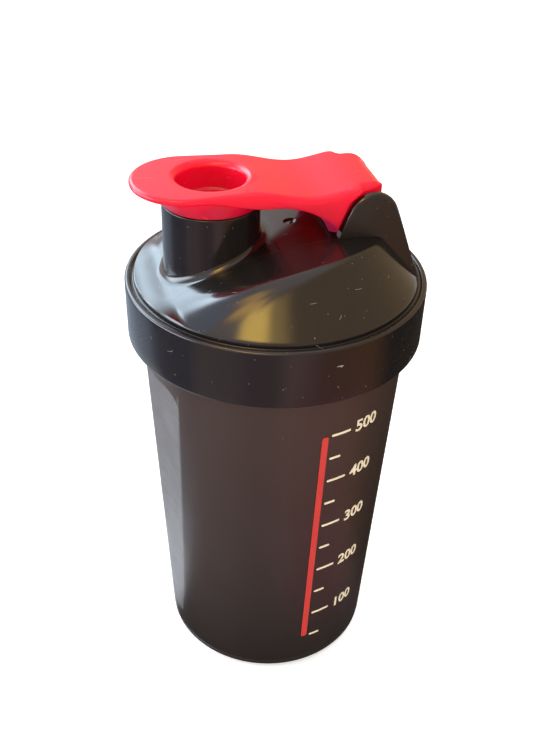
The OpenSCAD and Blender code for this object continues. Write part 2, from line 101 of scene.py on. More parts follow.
class LidSizes(bpy.types.PropertyGroup):
    """Sizes of the screw lid"""
    collar_in_r: length("Collar bore", "Inner radius of the collar", 45.85)
    collar_low_r: length("Collar foot", "Outer radius of the collar at its lower edge", 48.3)
    collar_top_r: length("Collar head", "Outer radius of the collar at the ledge", 48.48)
    rim_w: length("Rim width", "Width of the collar's raised upper rim", 1.5)
    rim_h: length("Rim height", "Depth of the groove between the rim and the dome", 0.6)
    collar_round: length("Collar rounding", "Rounding of the collar's outer edges", 0.8)
    seat_z: length("Seat height", "Height of the gasket seat", 147.1)
    ledge_z: length("Ledge height", "Height of the ledge around the dome", 149.1)
    dome_z: length("Dome foot", "Height at which the dome's slope starts", 150.2)
    dome_r: length("Dome radius", "Radius of the dome at its foot", 45.6)
    dome_slope: angle("Dome slope", "Slope of the dome's side from level", 52)
    top_z: length("Lid top", "Height of the crowned top", 167.3)
    crown_r: length("Crown radius", "Radius of the crowned top", 100)
    crown_x: length("Crown place", "Distance of the crown's highest line behind the axis", 17)
    crease_front: length("Front crease", "Softness of the crease around the spout", 6.5)
    crease_back: length("Back crease", "Softness of the crease at the hinge", 1.0)
    lid_wall: length("Lid wall", "Thickness of the dome's wall", 2)
    ring_in_r: length("Ring bore", "Inner radius of the ring that carries the grid", 37.0)
    ring_r: length("Ring radius", "Outer radius of that ring", 38.8)
    ring_z: length("Ring foot", "Height of that ring's lower edge", 139.5)
    bead_r: length("Bead radius", "Radius of the bead on the ring", 39.6)
    bead_w: length("Bead width", "Width of the bead", 1.2)
    groove_r: length("Groove radius", "Outer radius of the groove around the ring", 41.2)
    groove_h: length("Groove height", "Height of the groove above the gasket seat", 4.9)
    spout_x: length("Spout place", "Distance of the spout in front of the axis", 21)
    spout_r: length("Spout radius", "Outer radius of the spout", 15.1)
    spout_fillet: length("Spout fillet", "Fillet around the spout's foot", 2.2)
    shoulder_z: length("Spout shoulder", "Height of the shoulder under the cap's skirt", 176.0)
    lip_z: length("Lip height", "Height of the spout's lip", 180.4)
    lip_r: length("Lip radius", "Outer radius of the lip at the shoulder", 14.0)
    lip_taper: length("Lip taper", "Taper of the lip's outside", 0.3)
    bore_r: length("Spout bore", "Radius of the spout's bore", 12.3)
    dimple_x: length("Dimple place", "Distance of the moulding dimple behind the axis", 3.8)
    dimple_r: length("Dimple radius", "Radius of the moulding dimple", 1.9)
    dimple_h: length("Dimple depth", "Depth of the moulding dimple", 0.6)
    hinge_x: length("Hinge place", "Distance of the hinge axis behind the axis", 25.8)
    hinge_z: length("Hinge height", "Height of the hinge axis", 172.9)
    ear_r: length("Ear radius", "Radius of the round head of an ear", 7.9)
    ear_in_y: length("Ear inside", "Distance of an ear's inner face from the middle", 13.6)
    ear_out_y: length("Ear outside", "Distance of an ear's outer face from the middle", 16.4)
    ear_front_lean: angle("Ear front", "Lean of an ear's front edge from upright", 22)
    ear_back_lean: angle("Ear back", "Lean of an ear's back edge from upright", 19.8)
    ear_round: length("Ear rounding", "Rounding of an ear's edges", 0.95)
    socket_r: length("Socket radius", "Radius of the pivot's socket in an ear", 2.5)
    socket_h: length("Socket depth", "Depth of the pivot's socket", 1.9)
    lid_thread_z: length("Lid thread", "Height at which the lid's thread starts", 130.98)


class CapSizes(bpy.types.PropertyGroup):
    """Sizes of the flip cap"""
    cap_top_z: length("Cap top", "Height of the cap's top", 183.85)
    cap_under_z: length("Cap underside", "Height of the underside over the spout's lip", 181.0)
    tab_x: length("Tab place", "Distance of the tab's round end in front of the axis", 28.7)
    tab_r: length("Tab radius", "Radius of the thumb tab's round end", 16.8)
    tab_t: length("Tab edge", "Thickness of the thumb tab's edge", 2.2)
    waist_w: length("Waist", "Half width of the arm at its waist", 15.8)
    root_w: length("Root", "Half width of the arm in front of the ears", 15.9)
    root_x: length("Root place", "Distance of the arm's root behind the axis", 17.9)
    saddle_x0: length("Saddle start", "Distance of the saddle's start in front of the axis", 13)
    saddle_x: length("Saddle place", "Distance of the saddle's lowest line behind the axis", 7.5)
    saddle_z: length("Saddle height", "Height of the saddle", 180.65)
    hump_x: length("Hump place", "Distance of the hump behind the axis", 23)
    hump_z: length("Hump height", "Height of the hump over the hinge", 182.65)
    nose_r: length("Nose rounding", "Rounding of the tongue's upper back edge", 4.8)
    nose_corner: length("Nose corner", "Rounding of the tongue's back corners from above", 8)
    root_corner: length("Root corner", "Rounding of the arm's corners at the ears, from above", 2.4)
    root_sweep: length("Root sweep", "Reach of the arm's root corners along its length", 2.9)
    tongue_round: length("Tongue rounding", "Rounding of the tongue's upper side edges", 2.6)
    arm_round: length("Arm rounding", "Rounding of the arm's upper edges", 1.8)
    tab_round: length("Tab rounding", "Rounding of the tab's edges", 1.05)
    tongue_w: length("Tongue width", "Half width of the tongue between the ears", 13.3)
    knuckle_r: length("Knuckle radius", "Radius of the tongue round the pivots", 5.2)
    side_z: length("Arch top", "Height of the arm's lower edge at the top of its arch", 178.35)
    arch_x: length("Arch place", "Distance of the arch's top in front of the axis", 5)
    arch_r: length("Arch radius", "Radius of the arch under the arm", 26.5)
    arch_end: length("Arch end", "Distance of the arch's lower end behind the axis", 14.9)
    ear_gap: length("Ear gap", "Gap between the arm and the front of the ears", 0.4)
    ear_wrap: angle("Ear wrap", "Angle in front of upright at which the arm stops wrapping the ears", 24)
    arm_skin: length("Arm skin", "Thickness of the arm's top over its hollow", 2.4)
    arm_wall: length("Arm wall", "Thickness of the arm's side walls", 1.8)
    hollow_x0: length("Hollow front", "Distance of the arm's hollow in front of the axis", 3)
    hollow_x1: length("Hollow back", "Distance of the hollow's back wall behind the axis", 13.9)
    skirt_z: length("Skirt foot", "Height of the skirt's lower edge", 176.3)
    skirt_in_r: length("Skirt bore", "Inner radius of the skirt", 14.35)
    skirt_low_r: length("Skirt radius", "Outer radius of the skirt at its lower edge", 15.25)
    skirt_flare: length("Skirt flare", "Growth of the skirt's radius up to the cap", 1.75)
    plug_r: length("Plug radius", "Radius of the plug at the cap", 11.9)
    plug_tip_r: length("Plug tip", "Radius of the plug at its lower end", 11.1)
    plug_z: length("Plug end", "Height of the plug's lower end", 173.5)
    plug_wall: length("Plug wall", "Wall of the plug", 1.3)
    mouth_round: length("Mouth rounding", "Rounding of the mouth of the plug's hollow", 2.1)
    pivot_r: length("Pivot radius", "Radius of a pivot", 2.45)
    pivot_y: length("Pivot end", "Distance of a pivot's end from the middle", 15.3)


class Finishes(bpy.types.PropertyGroup):
    """Colours of the materials"""
    cup: colour("Cup", "Smoked satin plastic", 0.032, 0.0235, 0.0207)
    lid: colour("Lid", "Glossy black plastic", 0.0055, 0.0045, 0.0045)
    cap: colour("Cap", "Red satin plastic", 0.82, 0.004, 0.034)
    grid: colour("Grid", "Black moulded plastic", 0.022, 0.022, 0.024)
    gasket: colour("Gasket", "Pale silicone", 0.60, 0.60, 0.58)
    cream: colour("Cream ink", "Ink of the scale", 0.80, 0.67, 0.47)
    red: colour("Red ink", "Ink of the scale's bar", 0.58, 0.028, 0.020)
    dust: colour("Dust", "Dust and lint on the plastic", 0.46, 0.44, 0.42)
    floor: colour("Floor", "Pale floor", 0.86, 0.86, 0.86)


def sizes(context):
    """All lengths in millimetres and angles in radians, by name, with what follows from them."""
    found = {}
    for group in (context.scene.shaker_cup, context.scene.shaker_lid, context.scene.shaker_cap):
        for name in group.__annotations__:
            prop = group.bl_rna.properties[name]
            value = getattr(group, name)
            found[name] = value / MM if prop.unit == "LENGTH" else value
    d = SimpleNamespace(**found)
    d.taper = (d.cup_top_r - d.cup_foot_r) / d.cup_h
    d.neck_in_r = d.cup_top_r - d.cup_wall
    d.inside_z = d.foot_hollow_h + d.cup_floor
    d.flat_low_d = d.cup_foot_r + d.taper * d.flat_low
    high_d = d.cup_foot_r + d.taper * d.flat_high - d.flat_depth
    d.flat_lean = (high_d - d.flat_low_d) / (d.flat_high - d.flat_low)
    d.tab_under_z = d.cap_top_z - d.tab_t
    d.tongue_x = d.hinge_x + max(d.knuckle_r, d.nose_r)
    return d


# Plain shape helpers

# Places closer than this, in millimetres, count as level with each other
SAME = 0.01
# A stretch is divided where it is longer than this many steps
LONGEST_STEP = 1.4


def clamp(t):
    """t, held between 0 and 1."""
    return min(max(t, 0.0), 1.0)


def ease(t):
    """Smooth step from 0 to 1."""
    return (1 - cos(pi * clamp(t))) / 2


def mix(a, b, t):
    """From a to b."""
    return a + (b - a) * t


def spread(start, end, count, first=0):
    """Even steps from start to end. Where first is 1, the start is left out."""
    return [mix(start, end, k / count) for k in range(first, count + 1)]


def soft_min(a, b, soft):
    """The lower of two heights, with their crease rounded off."""
    near = max(soft - abs(a - b), 0) / soft
    return min(a, b) - near * near * soft / 4


def soft_max(a, b, soft):
    """The higher of two heights, with their crease rounded off."""
    return -soft_min(-a, -b, soft)


def rounded(corners, steps=5):
    """A line through corners (a, b, radius), with each corner rounded off."""
    line = []
    for i, (a, b, radius) in enumerate(corners):
        corner = Vector((a, b))
        if radius == 0 or i in (0, len(corners) - 1):
            line.append(corner)
            continue
        back = (Vector(corners[i - 1][:2]) - corner).normalized()
        ahead = (Vector(corners[i + 1][:2]) - corner).normalized()
        half = acos(max(min(back.dot(ahead), 1), -1)) / 2
        centre = corner + (back + ahead).normalized() * (radius / sin(half))
        first = corner + back * (radius / tan(half)) - centre
        last = corner + ahead * (radius / tan(half)) - centre
        sweep = first.angle_signed(last)
        for k in range(steps + 1):
            line.append(centre + Matrix.Rotation(-sweep * k / steps, 2) @ first)
    return line


def stepped(line, gap):
    """The same line with its long stretches divided; gap gives the step at a height."""
    points = [line[0]]
    for start, end in zip(line, line[1:]):
        done, whole = 0.0, (end - start).length
        step = gap(start[1])
        while whole - done > LONGEST_STEP * step:
            done += step
            points.append(mix(start, end, done / whole))
            step = gap(points[-1][1])
        points.append(end)
    return points


# Modelling helpers

# Corners of a skin that are closer than this, in millimetres, become one
WELD = 0.002
ROD_CORNERS = 40


def pick(piece):
    """Selects one piece alone and makes it the active one."""
    bpy.ops.object.select_all(action="DESELECT")
    piece.select_set(True)
    bpy.context.view_layer.objects.active = piece


def added(name, primitive, **settings):
    """Adds a primitive alone, under a name of its own, and gives the piece."""
    bpy.ops.object.select_all(action="DESELECT")
    primitive(**settings)
    piece = bpy.context.object
    piece.name = piece.data.name = name
    return piece


def place_ring(piece, points):
    """Moves the selected ring's corners to their places."""
    mesh = bmesh.from_edit_mesh(piece.data)
    order = mesh.verts.layers.int["order"]
    for corner in mesh.verts:
        if corner.select:
            corner.co = Vector(points[corner[order]]) * MM
    bmesh.update_edit_mesh(piece.data)


def skin(name, loops, capped):
    """A circle that is extruded from loop to loop. Capped ends are closed, or else the ends meet."""
    piece = added(name, bpy.ops.mesh.primitive_circle_add, vertices=len(loops[0]), radius=MM)
    bpy.ops.object.mode_set(mode="EDIT")
    mesh = bmesh.from_edit_mesh(piece.data)
    order = mesh.verts.layers.int.new("order")
    for corner in mesh.verts:
        corner[order] = corner.index
    place_ring(piece, loops[0])
    if capped:
        bpy.ops.mesh.edge_face_add()
    for loop in loops[1:]:
        bpy.ops.mesh.extrude_edges_indiv()
        place_ring(piece, loop)
    if capped:
        bpy.ops.mesh.edge_face_add()
        bpy.ops.mesh.select_mode(type="FACE")
        bpy.ops.mesh.select_face_by_sides(number=4, type="GREATER", extend=False)
        bpy.ops.mesh.poke()
        bpy.ops.mesh.select_mode(type="VERT")
    bpy.ops.mesh.select_all(action="SELECT")
    bpy.ops.mesh.remove_doubles(threshold=WELD * MM)
    bpy.ops.mesh.normals_make_consistent(inside=False)
    bpy.ops.object.mode_set(mode="OBJECT")
    piece.data.attributes.remove(piece.data.attributes["order"])
    return piece


def apply(piece, kind, **settings):
    """Adds a modifier with its settings and applies it."""
    pick(piece)
    modifier = piece.modifiers.new(kind.title(), kind)
    for key, value in settings.items():
        setattr(modifier, key, value)
    bpy.ops.object.modifier_apply(modifier=modifier.name)


def cut(piece, cutter, operation="DIFFERENCE"):
    """Joins or cuts a piece with another one, which is used up."""
    apply(piece, "BOOLEAN", object=cutter, operation=operation, solver="EXACT")
    bpy.data.objects.remove(cutter)


def join(piece, others):
    """Joins other pieces into one."""
    pick(piece)
    for other in others:
        other.select_set(True)
    bpy.ops.object.join()


def select_edges(piece, test):
    """In edit mode, selects the edges whose two ends pass a test."""
    bpy.ops.mesh.select_mode(type="EDGE")
    bpy.ops.mesh.select_all(action="DESELECT")
    mesh = bmesh.from_edit_mesh(piece.data)
    for edge in mesh.edges:
        if test(*(end.co / MM for end in edge.verts)):
            edge.select_set(True)
    bmesh.update_edit_mesh(piece.data)


def rod(name, radius, low, high, bevel, middle):
    """A round rod along Y with bevelled ends."""
    piece = added(
        name, bpy.ops.mesh.primitive_cylinder_add, vertices=ROD_CORNERS, radius=radius * MM,
        depth=(high - low) * MM, rotation=(pi / 2, 0, 0),
        location=(middle[0] * MM, (low + high) / 2 * MM, middle[1] * MM))
    bpy.ops.object.transform_apply(location=True, rotation=True, scale=True)
    if bevel:
        bpy.ops.object.mode_set(mode="EDIT")
        select_edges(piece, lambda a, b: abs(a.y - b.y) < SAME)
        bpy.ops.mesh.bevel(offset=bevel * MM, segments=3, affect="EDGES")
        bpy.ops.object.mode_set(mode="OBJECT")
    return piece


def finish_piece(piece, body, slot, material, *nodes, smooth):
    """Smooths a piece, gives it its material, and sets it on the body that it moves with."""
    pick(piece)
    bpy.ops.object.shade_smooth_by_angle(angle=radians(smooth))
    piece.data.materials.clear()
    piece.data.materials.append(material)
    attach(piece, body)
    if nodes:
        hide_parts(*nodes)


# Screw threads

# Share of a turn that each ridge runs
CUP_THREAD_TURN = 0.75
LID_THREAD_TURN = 0.6
# A ridge's root lies this deep in its wall, and its crest sinks in over an angle at both ends
THREAD_BURY = 0.6
THREAD_SINK = 0.3
THREAD_FADE = radians(25)
THREAD_STEPS = 90
# An angle beyond this belongs to a ridge's start
TURN_END = 1.9 * pi


def fade_ridge(ridge, wall_r, side, sweep):
    """In edit mode, lets the ends of a ridge sink into its wall."""
    mesh = bmesh.from_edit_mesh(ridge.data)
    for corner in mesh.verts:
        at = atan2(corner.co.y, corner.co.x) % (2 * pi)
        at = 0 if at > TURN_END else at
        share = clamp(min(at, sweep - at) / THREAD_FADE)
        reach = hypot(corner.co.x, corner.co.y) / MM
        height = side * (reach - wall_r)
        if height > 0:
            sunk = (wall_r + side * (share * (height + THREAD_SINK) - THREAD_SINK)) / reach
            corner.co.x *= sunk
            corner.co.y *= sunk
    bmesh.update_edit_mesh(ridge.data)


def thread(d, name, wall_r, side, low_z, turn):
    """Two helical ridges on a wall, which grow outwards or inwards and fade out at both ends."""
    ridges = []
    sweep = 2 * pi * turn
    for start in (0, pi):
        ridge = added(name, bpy.ops.mesh.primitive_plane_add, size=MM)
        bpy.ops.object.mode_set(mode="EDIT")
        mesh = bmesh.from_edit_mesh(ridge.data)
        for corner in mesh.verts:
            out = corner.co.x > 0
            high = 1 if corner.co.y > 0 else -1
            reach = wall_r + side * (d.thread_h if out else -THREAD_BURY)
            width = d.thread_crest_w if out else d.thread_root_w
            corner.co = Vector((reach, 0, low_z + high * width / 2)) * MM
        bmesh.update_edit_mesh(ridge.data)
        bpy.ops.mesh.select_all(action="SELECT")
        bpy.ops.mesh.delete(type="ONLY_FACE")
        bpy.ops.object.mode_set(mode="OBJECT")
        apply(ridge, "SCREW", angle=sweep, screw_offset=d.thread_lead * turn * MM, steps=THREAD_STEPS,
              render_steps=THREAD_STEPS, axis="Z", use_smooth_shade=True)
        bpy.ops.object.mode_set(mode="EDIT")
        bpy.ops.mesh.select_all(action="DESELECT")
        bpy.ops.mesh.select_mode(type="EDGE")
        bpy.ops.mesh.select_non_manifold(extend=False)
        bpy.ops.mesh.edge_face_add()
        fade_ridge(ridge, wall_r, side, sweep)
        bpy.ops.mesh.select_all(action="SELECT")
        bpy.ops.mesh.normals_make_consistent(inside=False)
        bpy.ops.transform.rotate(value=start, orient_axis="Z", center_override=(0, 0, 0))
        bpy.ops.object.mode_set(mode="OBJECT")
        ridges.append(ridge)
    return ridges


# Cup

# Degrees between the cup's corners, and where they stand closer, on both sides of a flat's middle
CUP_STEP = 2.5
FLAT_SIDES = (9, 19.8)
FLAT_SIDE_STEPS = 18
LEAST_STEP = 0.35
# Places this far inside a flat's face stay as they are; width of a flat's edge, softness of its crease
FLAT_REACH = 1
FLAT_BLEND = 0.9
FLAT_CREASE = 0.35
# Distances from the flats' upper ends with the steps up to them, and the step farther away
CUP_STEPS = ((2.2, 0.35), (9, 0.9))
LONG_STEP = 3.0
FOOT_LINE_STEP = 0.12
FOOT_LINE_REACH = 1
# Radius of the floor's plain middle, slope of the foot's hollow, and roundings
HUB_R = 8
HOLLOW_SLOPE = 0.6
HOLLOW_ROUND = 0.5
FOOT_RING_ROUND = 0.4
NECK_ROUND = 4
RIM_ROUND = 0.6
RIM_MIDDLE = 0.7


def cup_turns(d):
    """Angles of the cup's corners, closer together at the edges of the flats."""
    wanted = [i * CUP_STEP for i in range(round(360 / CUP_STEP))]
    turn = degrees(d.flat_turn)
    for middle in (turn, turn + 180):
        for side in (-1, 1):
            wanted += [(middle + side * off) % 360 for off in spread(*FLAT_SIDES, FLAT_SIDE_STEPS)]
    turns = []
    for a in sorted(wanted):
        if not turns or a - turns[-1] > LEAST_STEP:
            turns.append(a)
    return [radians(a) for a in turns]


def flattened(d, x, y, z, inward):
    """A place on the tapered wall, moved in to the nearest flat where it lies outside it."""
    for turn in (d.flat_turn, d.flat_turn + pi):
        out = x * cos(turn) + y * sin(turn)
        along = y * cos(turn) - x * sin(turn)
        face = d.flat_low_d - inward + (z - d.flat_low) * d.flat_lean
        if out < face - FLAT_REACH:
            continue
        corner = d.flat_corner + inward
        beside = max(abs(along) - d.flat_w / 2 - inward + corner, 0)
        above = max(z - d.flat_high - inward + corner, 0)
        share = 1 - ease((hypot(beside, above) - corner + FLAT_BLEND / 2) / FLAT_BLEND)
        move = share * soft_max(out - face, 0, FLAT_CREASE)
        x -= move * cos(turn)
        y -= move * sin(turn)
    return x, y, z


def cup_loops(d):
    """Loops of the cup from the foot's hollow up the outside, over the rim and down the inside."""
    turns = cup_turns(d)
    foot_in = d.cup_foot_r - d.foot_round - d.foot_ring_w
    low_in = d.cup_foot_r + d.taper * d.inside_z - d.cup_wall
    rim = (d.neck_in_r + RIM_MIDDLE, d.rim_z, 0)
    outside = rounded([
        (HUB_R, d.foot_hollow_h, 0), (foot_in - HOLLOW_SLOPE, d.foot_hollow_h, HOLLOW_ROUND),
        (foot_in, 0, FOOT_RING_ROUND), (d.cup_foot_r, 0, d.foot_round), (d.cup_top_r, d.cup_h, NECK_ROUND),
        (d.cup_top_r, d.rim_z, RIM_ROUND), rim])
    inside = rounded([
        rim, (d.neck_in_r, d.rim_z, RIM_ROUND), (d.neck_in_r, d.cup_h, NECK_ROUND),
        (low_in, d.inside_z, d.foot_round), (HUB_R, d.inside_z, 0)])

    def gap(z):
        near = abs(z - d.flat_high)
        return next((step for reach, step in CUP_STEPS if near < reach), LONG_STEP)

    def foot_gap(z):
        return FOOT_LINE_STEP if abs(z - d.foot_line_z) < FOOT_LINE_REACH else gap(z)

    wall = []
    for r, z in stepped(outside, foot_gap):
        groove = exp(-((z - d.foot_line_z) / d.foot_line_w) ** 2) if r > foot_in else 0
        wall.append((r - d.foot_line_h * groove, z, 0))
    wall += [(r, z, d.cup_wall) for r, z in stepped(inside, gap)]
    return [[flattened(d, r * cos(a), r * sin(a), z, inward) for a in turns] for r, z, inward in wall]


class SHAKER_OT_cup(bpy.types.Operator):
    """Model the tapered cup with its foot ring, grip flats and threaded neck"""
    bl_idname = "shaker.cup"
    bl_label = "Cup"

    def execute(self, context):
        d = sizes(context)
        cup = skin("cup_shell", cup_loops(d), capped=True)
        for ridge in thread(d, "cup_ridge", d.cup_top_r, 1, d.thread_low_z, CUP_THREAD_TURN):
            cut(cup, ridge, "UNION")
        finish_piece(cup, "cup", "cup_plastic", smoked_plastic(context), "cup", smooth=32)
        return {"FINISHED"}


# Printed scale on the cup

# Angle of the scale, how far its ink stands out, the ink's thickness, and what is welded
SCALE_TURN = radians(-72)
INK_PROUD = 0.04
INK_DEEP = 0.12
INK_WELD = 0.005
# A print is cut into upright strips, so that it can follow the wall
STRIP_W = 0.9
STRIPS = 30
# Volumes in millilitres, the height of the slices that add up, and cubic millimetres in one millilitre
MARK_STEP = 50
MARK_END = 500
NUMBER_STEP = 100
SLICE = 0.1
ML = 1000
# Sizes and places of the marks, numbers and bar along the girth
MARK_LEFT = -5
MARK_H = 0.9
LONG_MARK = 7
SHORT_MARK = 4
NUMBER_LEFT = 4
NUMBER_SIZE = 6.4
NUMBER_BOLD = 0.02
BAR_MIDDLE = -7.2
BAR_W = 2.2
BAR_CORNER = 0.4


def on_cup(d, across, z, proud):
    """A place on the cup's outside, by the distance along its girth and the height."""
    r = d.cup_foot_r + d.taper * z + proud
    turn = SCALE_TURN + across / r
    return Vector((r * cos(turn), r * sin(turn), z)) * MM


def volume_height(d, volume):
    """Height at which the cup holds a volume in millilitres."""
    z, held = d.inside_z, 0.0
    while held < volume * ML:
        r = d.cup_foot_r + d.taper * z - d.cup_wall
        held += pi * r * r * SLICE
        z += SLICE
    return z


def bar(width, low, high, across):
    """A flat printed bar, with rounded corners."""
    piece = added("bar", bpy.ops.mesh.primitive_plane_add, size=1)
    piece.dimensions = (width * MM, (high - low) * MM, 0)
    piece.location = (across * MM, (low + high) / 2 * MM, 0)
    bpy.ops.object.transform_apply(location=True, rotation=True, scale=True)
    bpy.ops.object.mode_set(mode="EDIT")
    bpy.ops.mesh.select_all(action="SELECT")
    bpy.ops.mesh.bevel(offset=BAR_CORNER * min(width, high - low) * MM, segments=4, affect="VERTICES")
    bpy.ops.object.mode_set(mode="OBJECT")
    return piece


def number(words, z):
    """A flat printed number."""
    piece = added("number", bpy.ops.object.text_add)
    piece.data.body = words
    piece.data.size = NUMBER_SIZE * MM
    piece.data.offset = NUMBER_BOLD * NUMBER_SIZE * MM
    piece.data.align_x = "LEFT"
    piece.data.align_y = "CENTER"
    bpy.ops.object.convert(target="MESH")
    piece = bpy.context.object
    piece.location = (NUMBER_LEFT * MM, z * MM, 0)
    bpy.ops.object.transform_apply(location=True, rotation=True, scale=True)
    return piece


def print_on_cup(d, piece, name, material):
    """Cuts a flat print into strips, wraps it on the cup, gives it a thin body and finishes it."""
    piece.name = piece.data.name = name
    pick(piece)
    bpy.ops.object.mode_set(mode="EDIT")
    bpy.ops.mesh.select_all(action="SELECT")
    bpy.ops.mesh.remove_doubles(threshold=INK_WELD * MM)
    for k in range(-STRIPS, STRIPS + 1):
        bpy.ops.mesh.select_all(action="SELECT")
        bpy.ops.mesh.bisect(plane_co=(k * STRIP_W * MM, 0, 0), plane_no=(1, 0, 0))
    mesh = bmesh.from_edit_mesh(piece.data)
    for corner in mesh.verts:
        corner.co = on_cup(d, corner.co.x / MM, corner.co.y / MM, INK_PROUD)
    bmesh.update_edit_mesh(piece.data)
    bpy.ops.mesh.select_all(action="SELECT")
    bpy.ops.mesh.normals_make_consistent(inside=False)
    bpy.ops.object.mode_set(mode="OBJECT")
    apply(piece, "SOLIDIFY", thickness=INK_DEEP * MM, offset=-1)
    finish_piece(piece, "cup", "cup_plastic", material, smooth=30)


class SHAKER_OT_scale(bpy.types.Operator):
    """Print a plain measuring scale on the cup"""
    bl_idname = "shaker.scale"
    bl_label = "Measuring scale"

    def execute(self, context):
        d = sizes(context)
        marks = []
        for volume in range(MARK_STEP, MARK_END + 1, MARK_STEP):
            z = volume_height(d, volume)
            numbered = volume % NUMBER_STEP == 0
            width = LONG_MARK if numbered else SHORT_MARK
            marks.append(bar(width, z - MARK_H / 2, z + MARK_H / 2, MARK_LEFT + width / 2))
            if numbered:
                marks.append(number(str(volume), z))
        join(marks[0], marks[1:])
        print_on_cup(d, marks[0], "scale_marks", ink(context, "Cream ink", "cream"))
        line = bar(BAR_W, volume_height(d, MARK_STEP), volume_height(d, MARK_END), BAR_MIDDLE)
        print_on_cup(d, line, "scale_bar", ink(context, "Red ink", "red"))
        return {"FINISHED"}


# Screw lid

LID_CORNERS = 192
COLLAR_STEP = 4
DOME_STEPS = 43
FILLET_STEPS = 7
SPOUT_STEPS = 5
INSIDE_STEPS = 30
# Where the crease under the crown and the one at the dome's foot start to change, and over what length
CROWN_CREASE_X = -32
CROWN_CREASE_RUN = 50
FOOT_CREASE_X = -43
FOOT_CREASE_RUN = 12
HARD_CREASE = 0.4
# Roundings, the width of the groove's foot, and small steps at the dome's lower edge
EDGE_ROUND = 0.4
GROOVE_ROUND = 0.35
DOME_FOOT_ROUND = 0.3
BEAD_ROUND = 0.3
SHOULDER_ROUND = 0.35
LIP_FOOT_ROUND = 0.2
LIP_ROUND = 0.45
GROOVE_W = 0.7
DOME_EDGE_LOW = 0.25
DOME_EDGE_MIDDLE = (0.08, 0.02)
DOME_EDGE_IN = 0.3
# Straight stretches before or after a rounding, and heights inside the lid
COLLAR_START = 4
SHOULDER_START = 1.5
RING_START = 3
RING_END = 2
RING_INSIDE = 4
INSIDE_CREASE = 1
LEAST_GROOVE = 0.4
# Reaches around the dimple with the cuts made in them, its edge, and the nub in it
DIMPLE_CUTS = ((5.5, 2), (3.2, 3))
DIMPLE_IN = 0.5
DIMPLE_EDGE = 0.6
NUB_PLACE = (0.35, -0.2)
NUB_R = 0.25
NUB_EDGE = 0.45
NUB_H = 0.45
# Depth of an ear's foot in the dome, its distance from the dome's edge, and where its bevel ends
EAR_BURY = 1.4
EAR_MARGIN = 0.6
EAR_FREE = 0.9
EAR_STEP = 0.05
EAR_HEAD_STEPS = 22
EAR_FOOT_STEPS = 14
CUT_PAST = 1


def circle(r, z, x=0.0):
    """A loop around an upright axis."""
    turns = [2 * pi * i / LID_CORNERS for i in range(LID_CORNERS)]
    return [(x + r * cos(a), r * sin(a), z) for a in turns]


def dome_height(d, x, y, inward=0.0):
    """Height of the dome: a cone under a crown, with a crease that is soft at the spout."""
    slant = inward / sin(d.dome_slope)
    cone = d.dome_z + (d.dome_r - slant - hypot(x, y)) * tan(d.dome_slope)
    crown = d.top_z - d.crown_r + sqrt(max((d.crown_r - inward) ** 2 - (x - d.crown_x) ** 2, 0))
    soft = mix(d.crease_front, d.crease_back, ease((x - CROWN_CREASE_X) / CROWN_CREASE_RUN))
    return soft_min(cone, crown, soft)


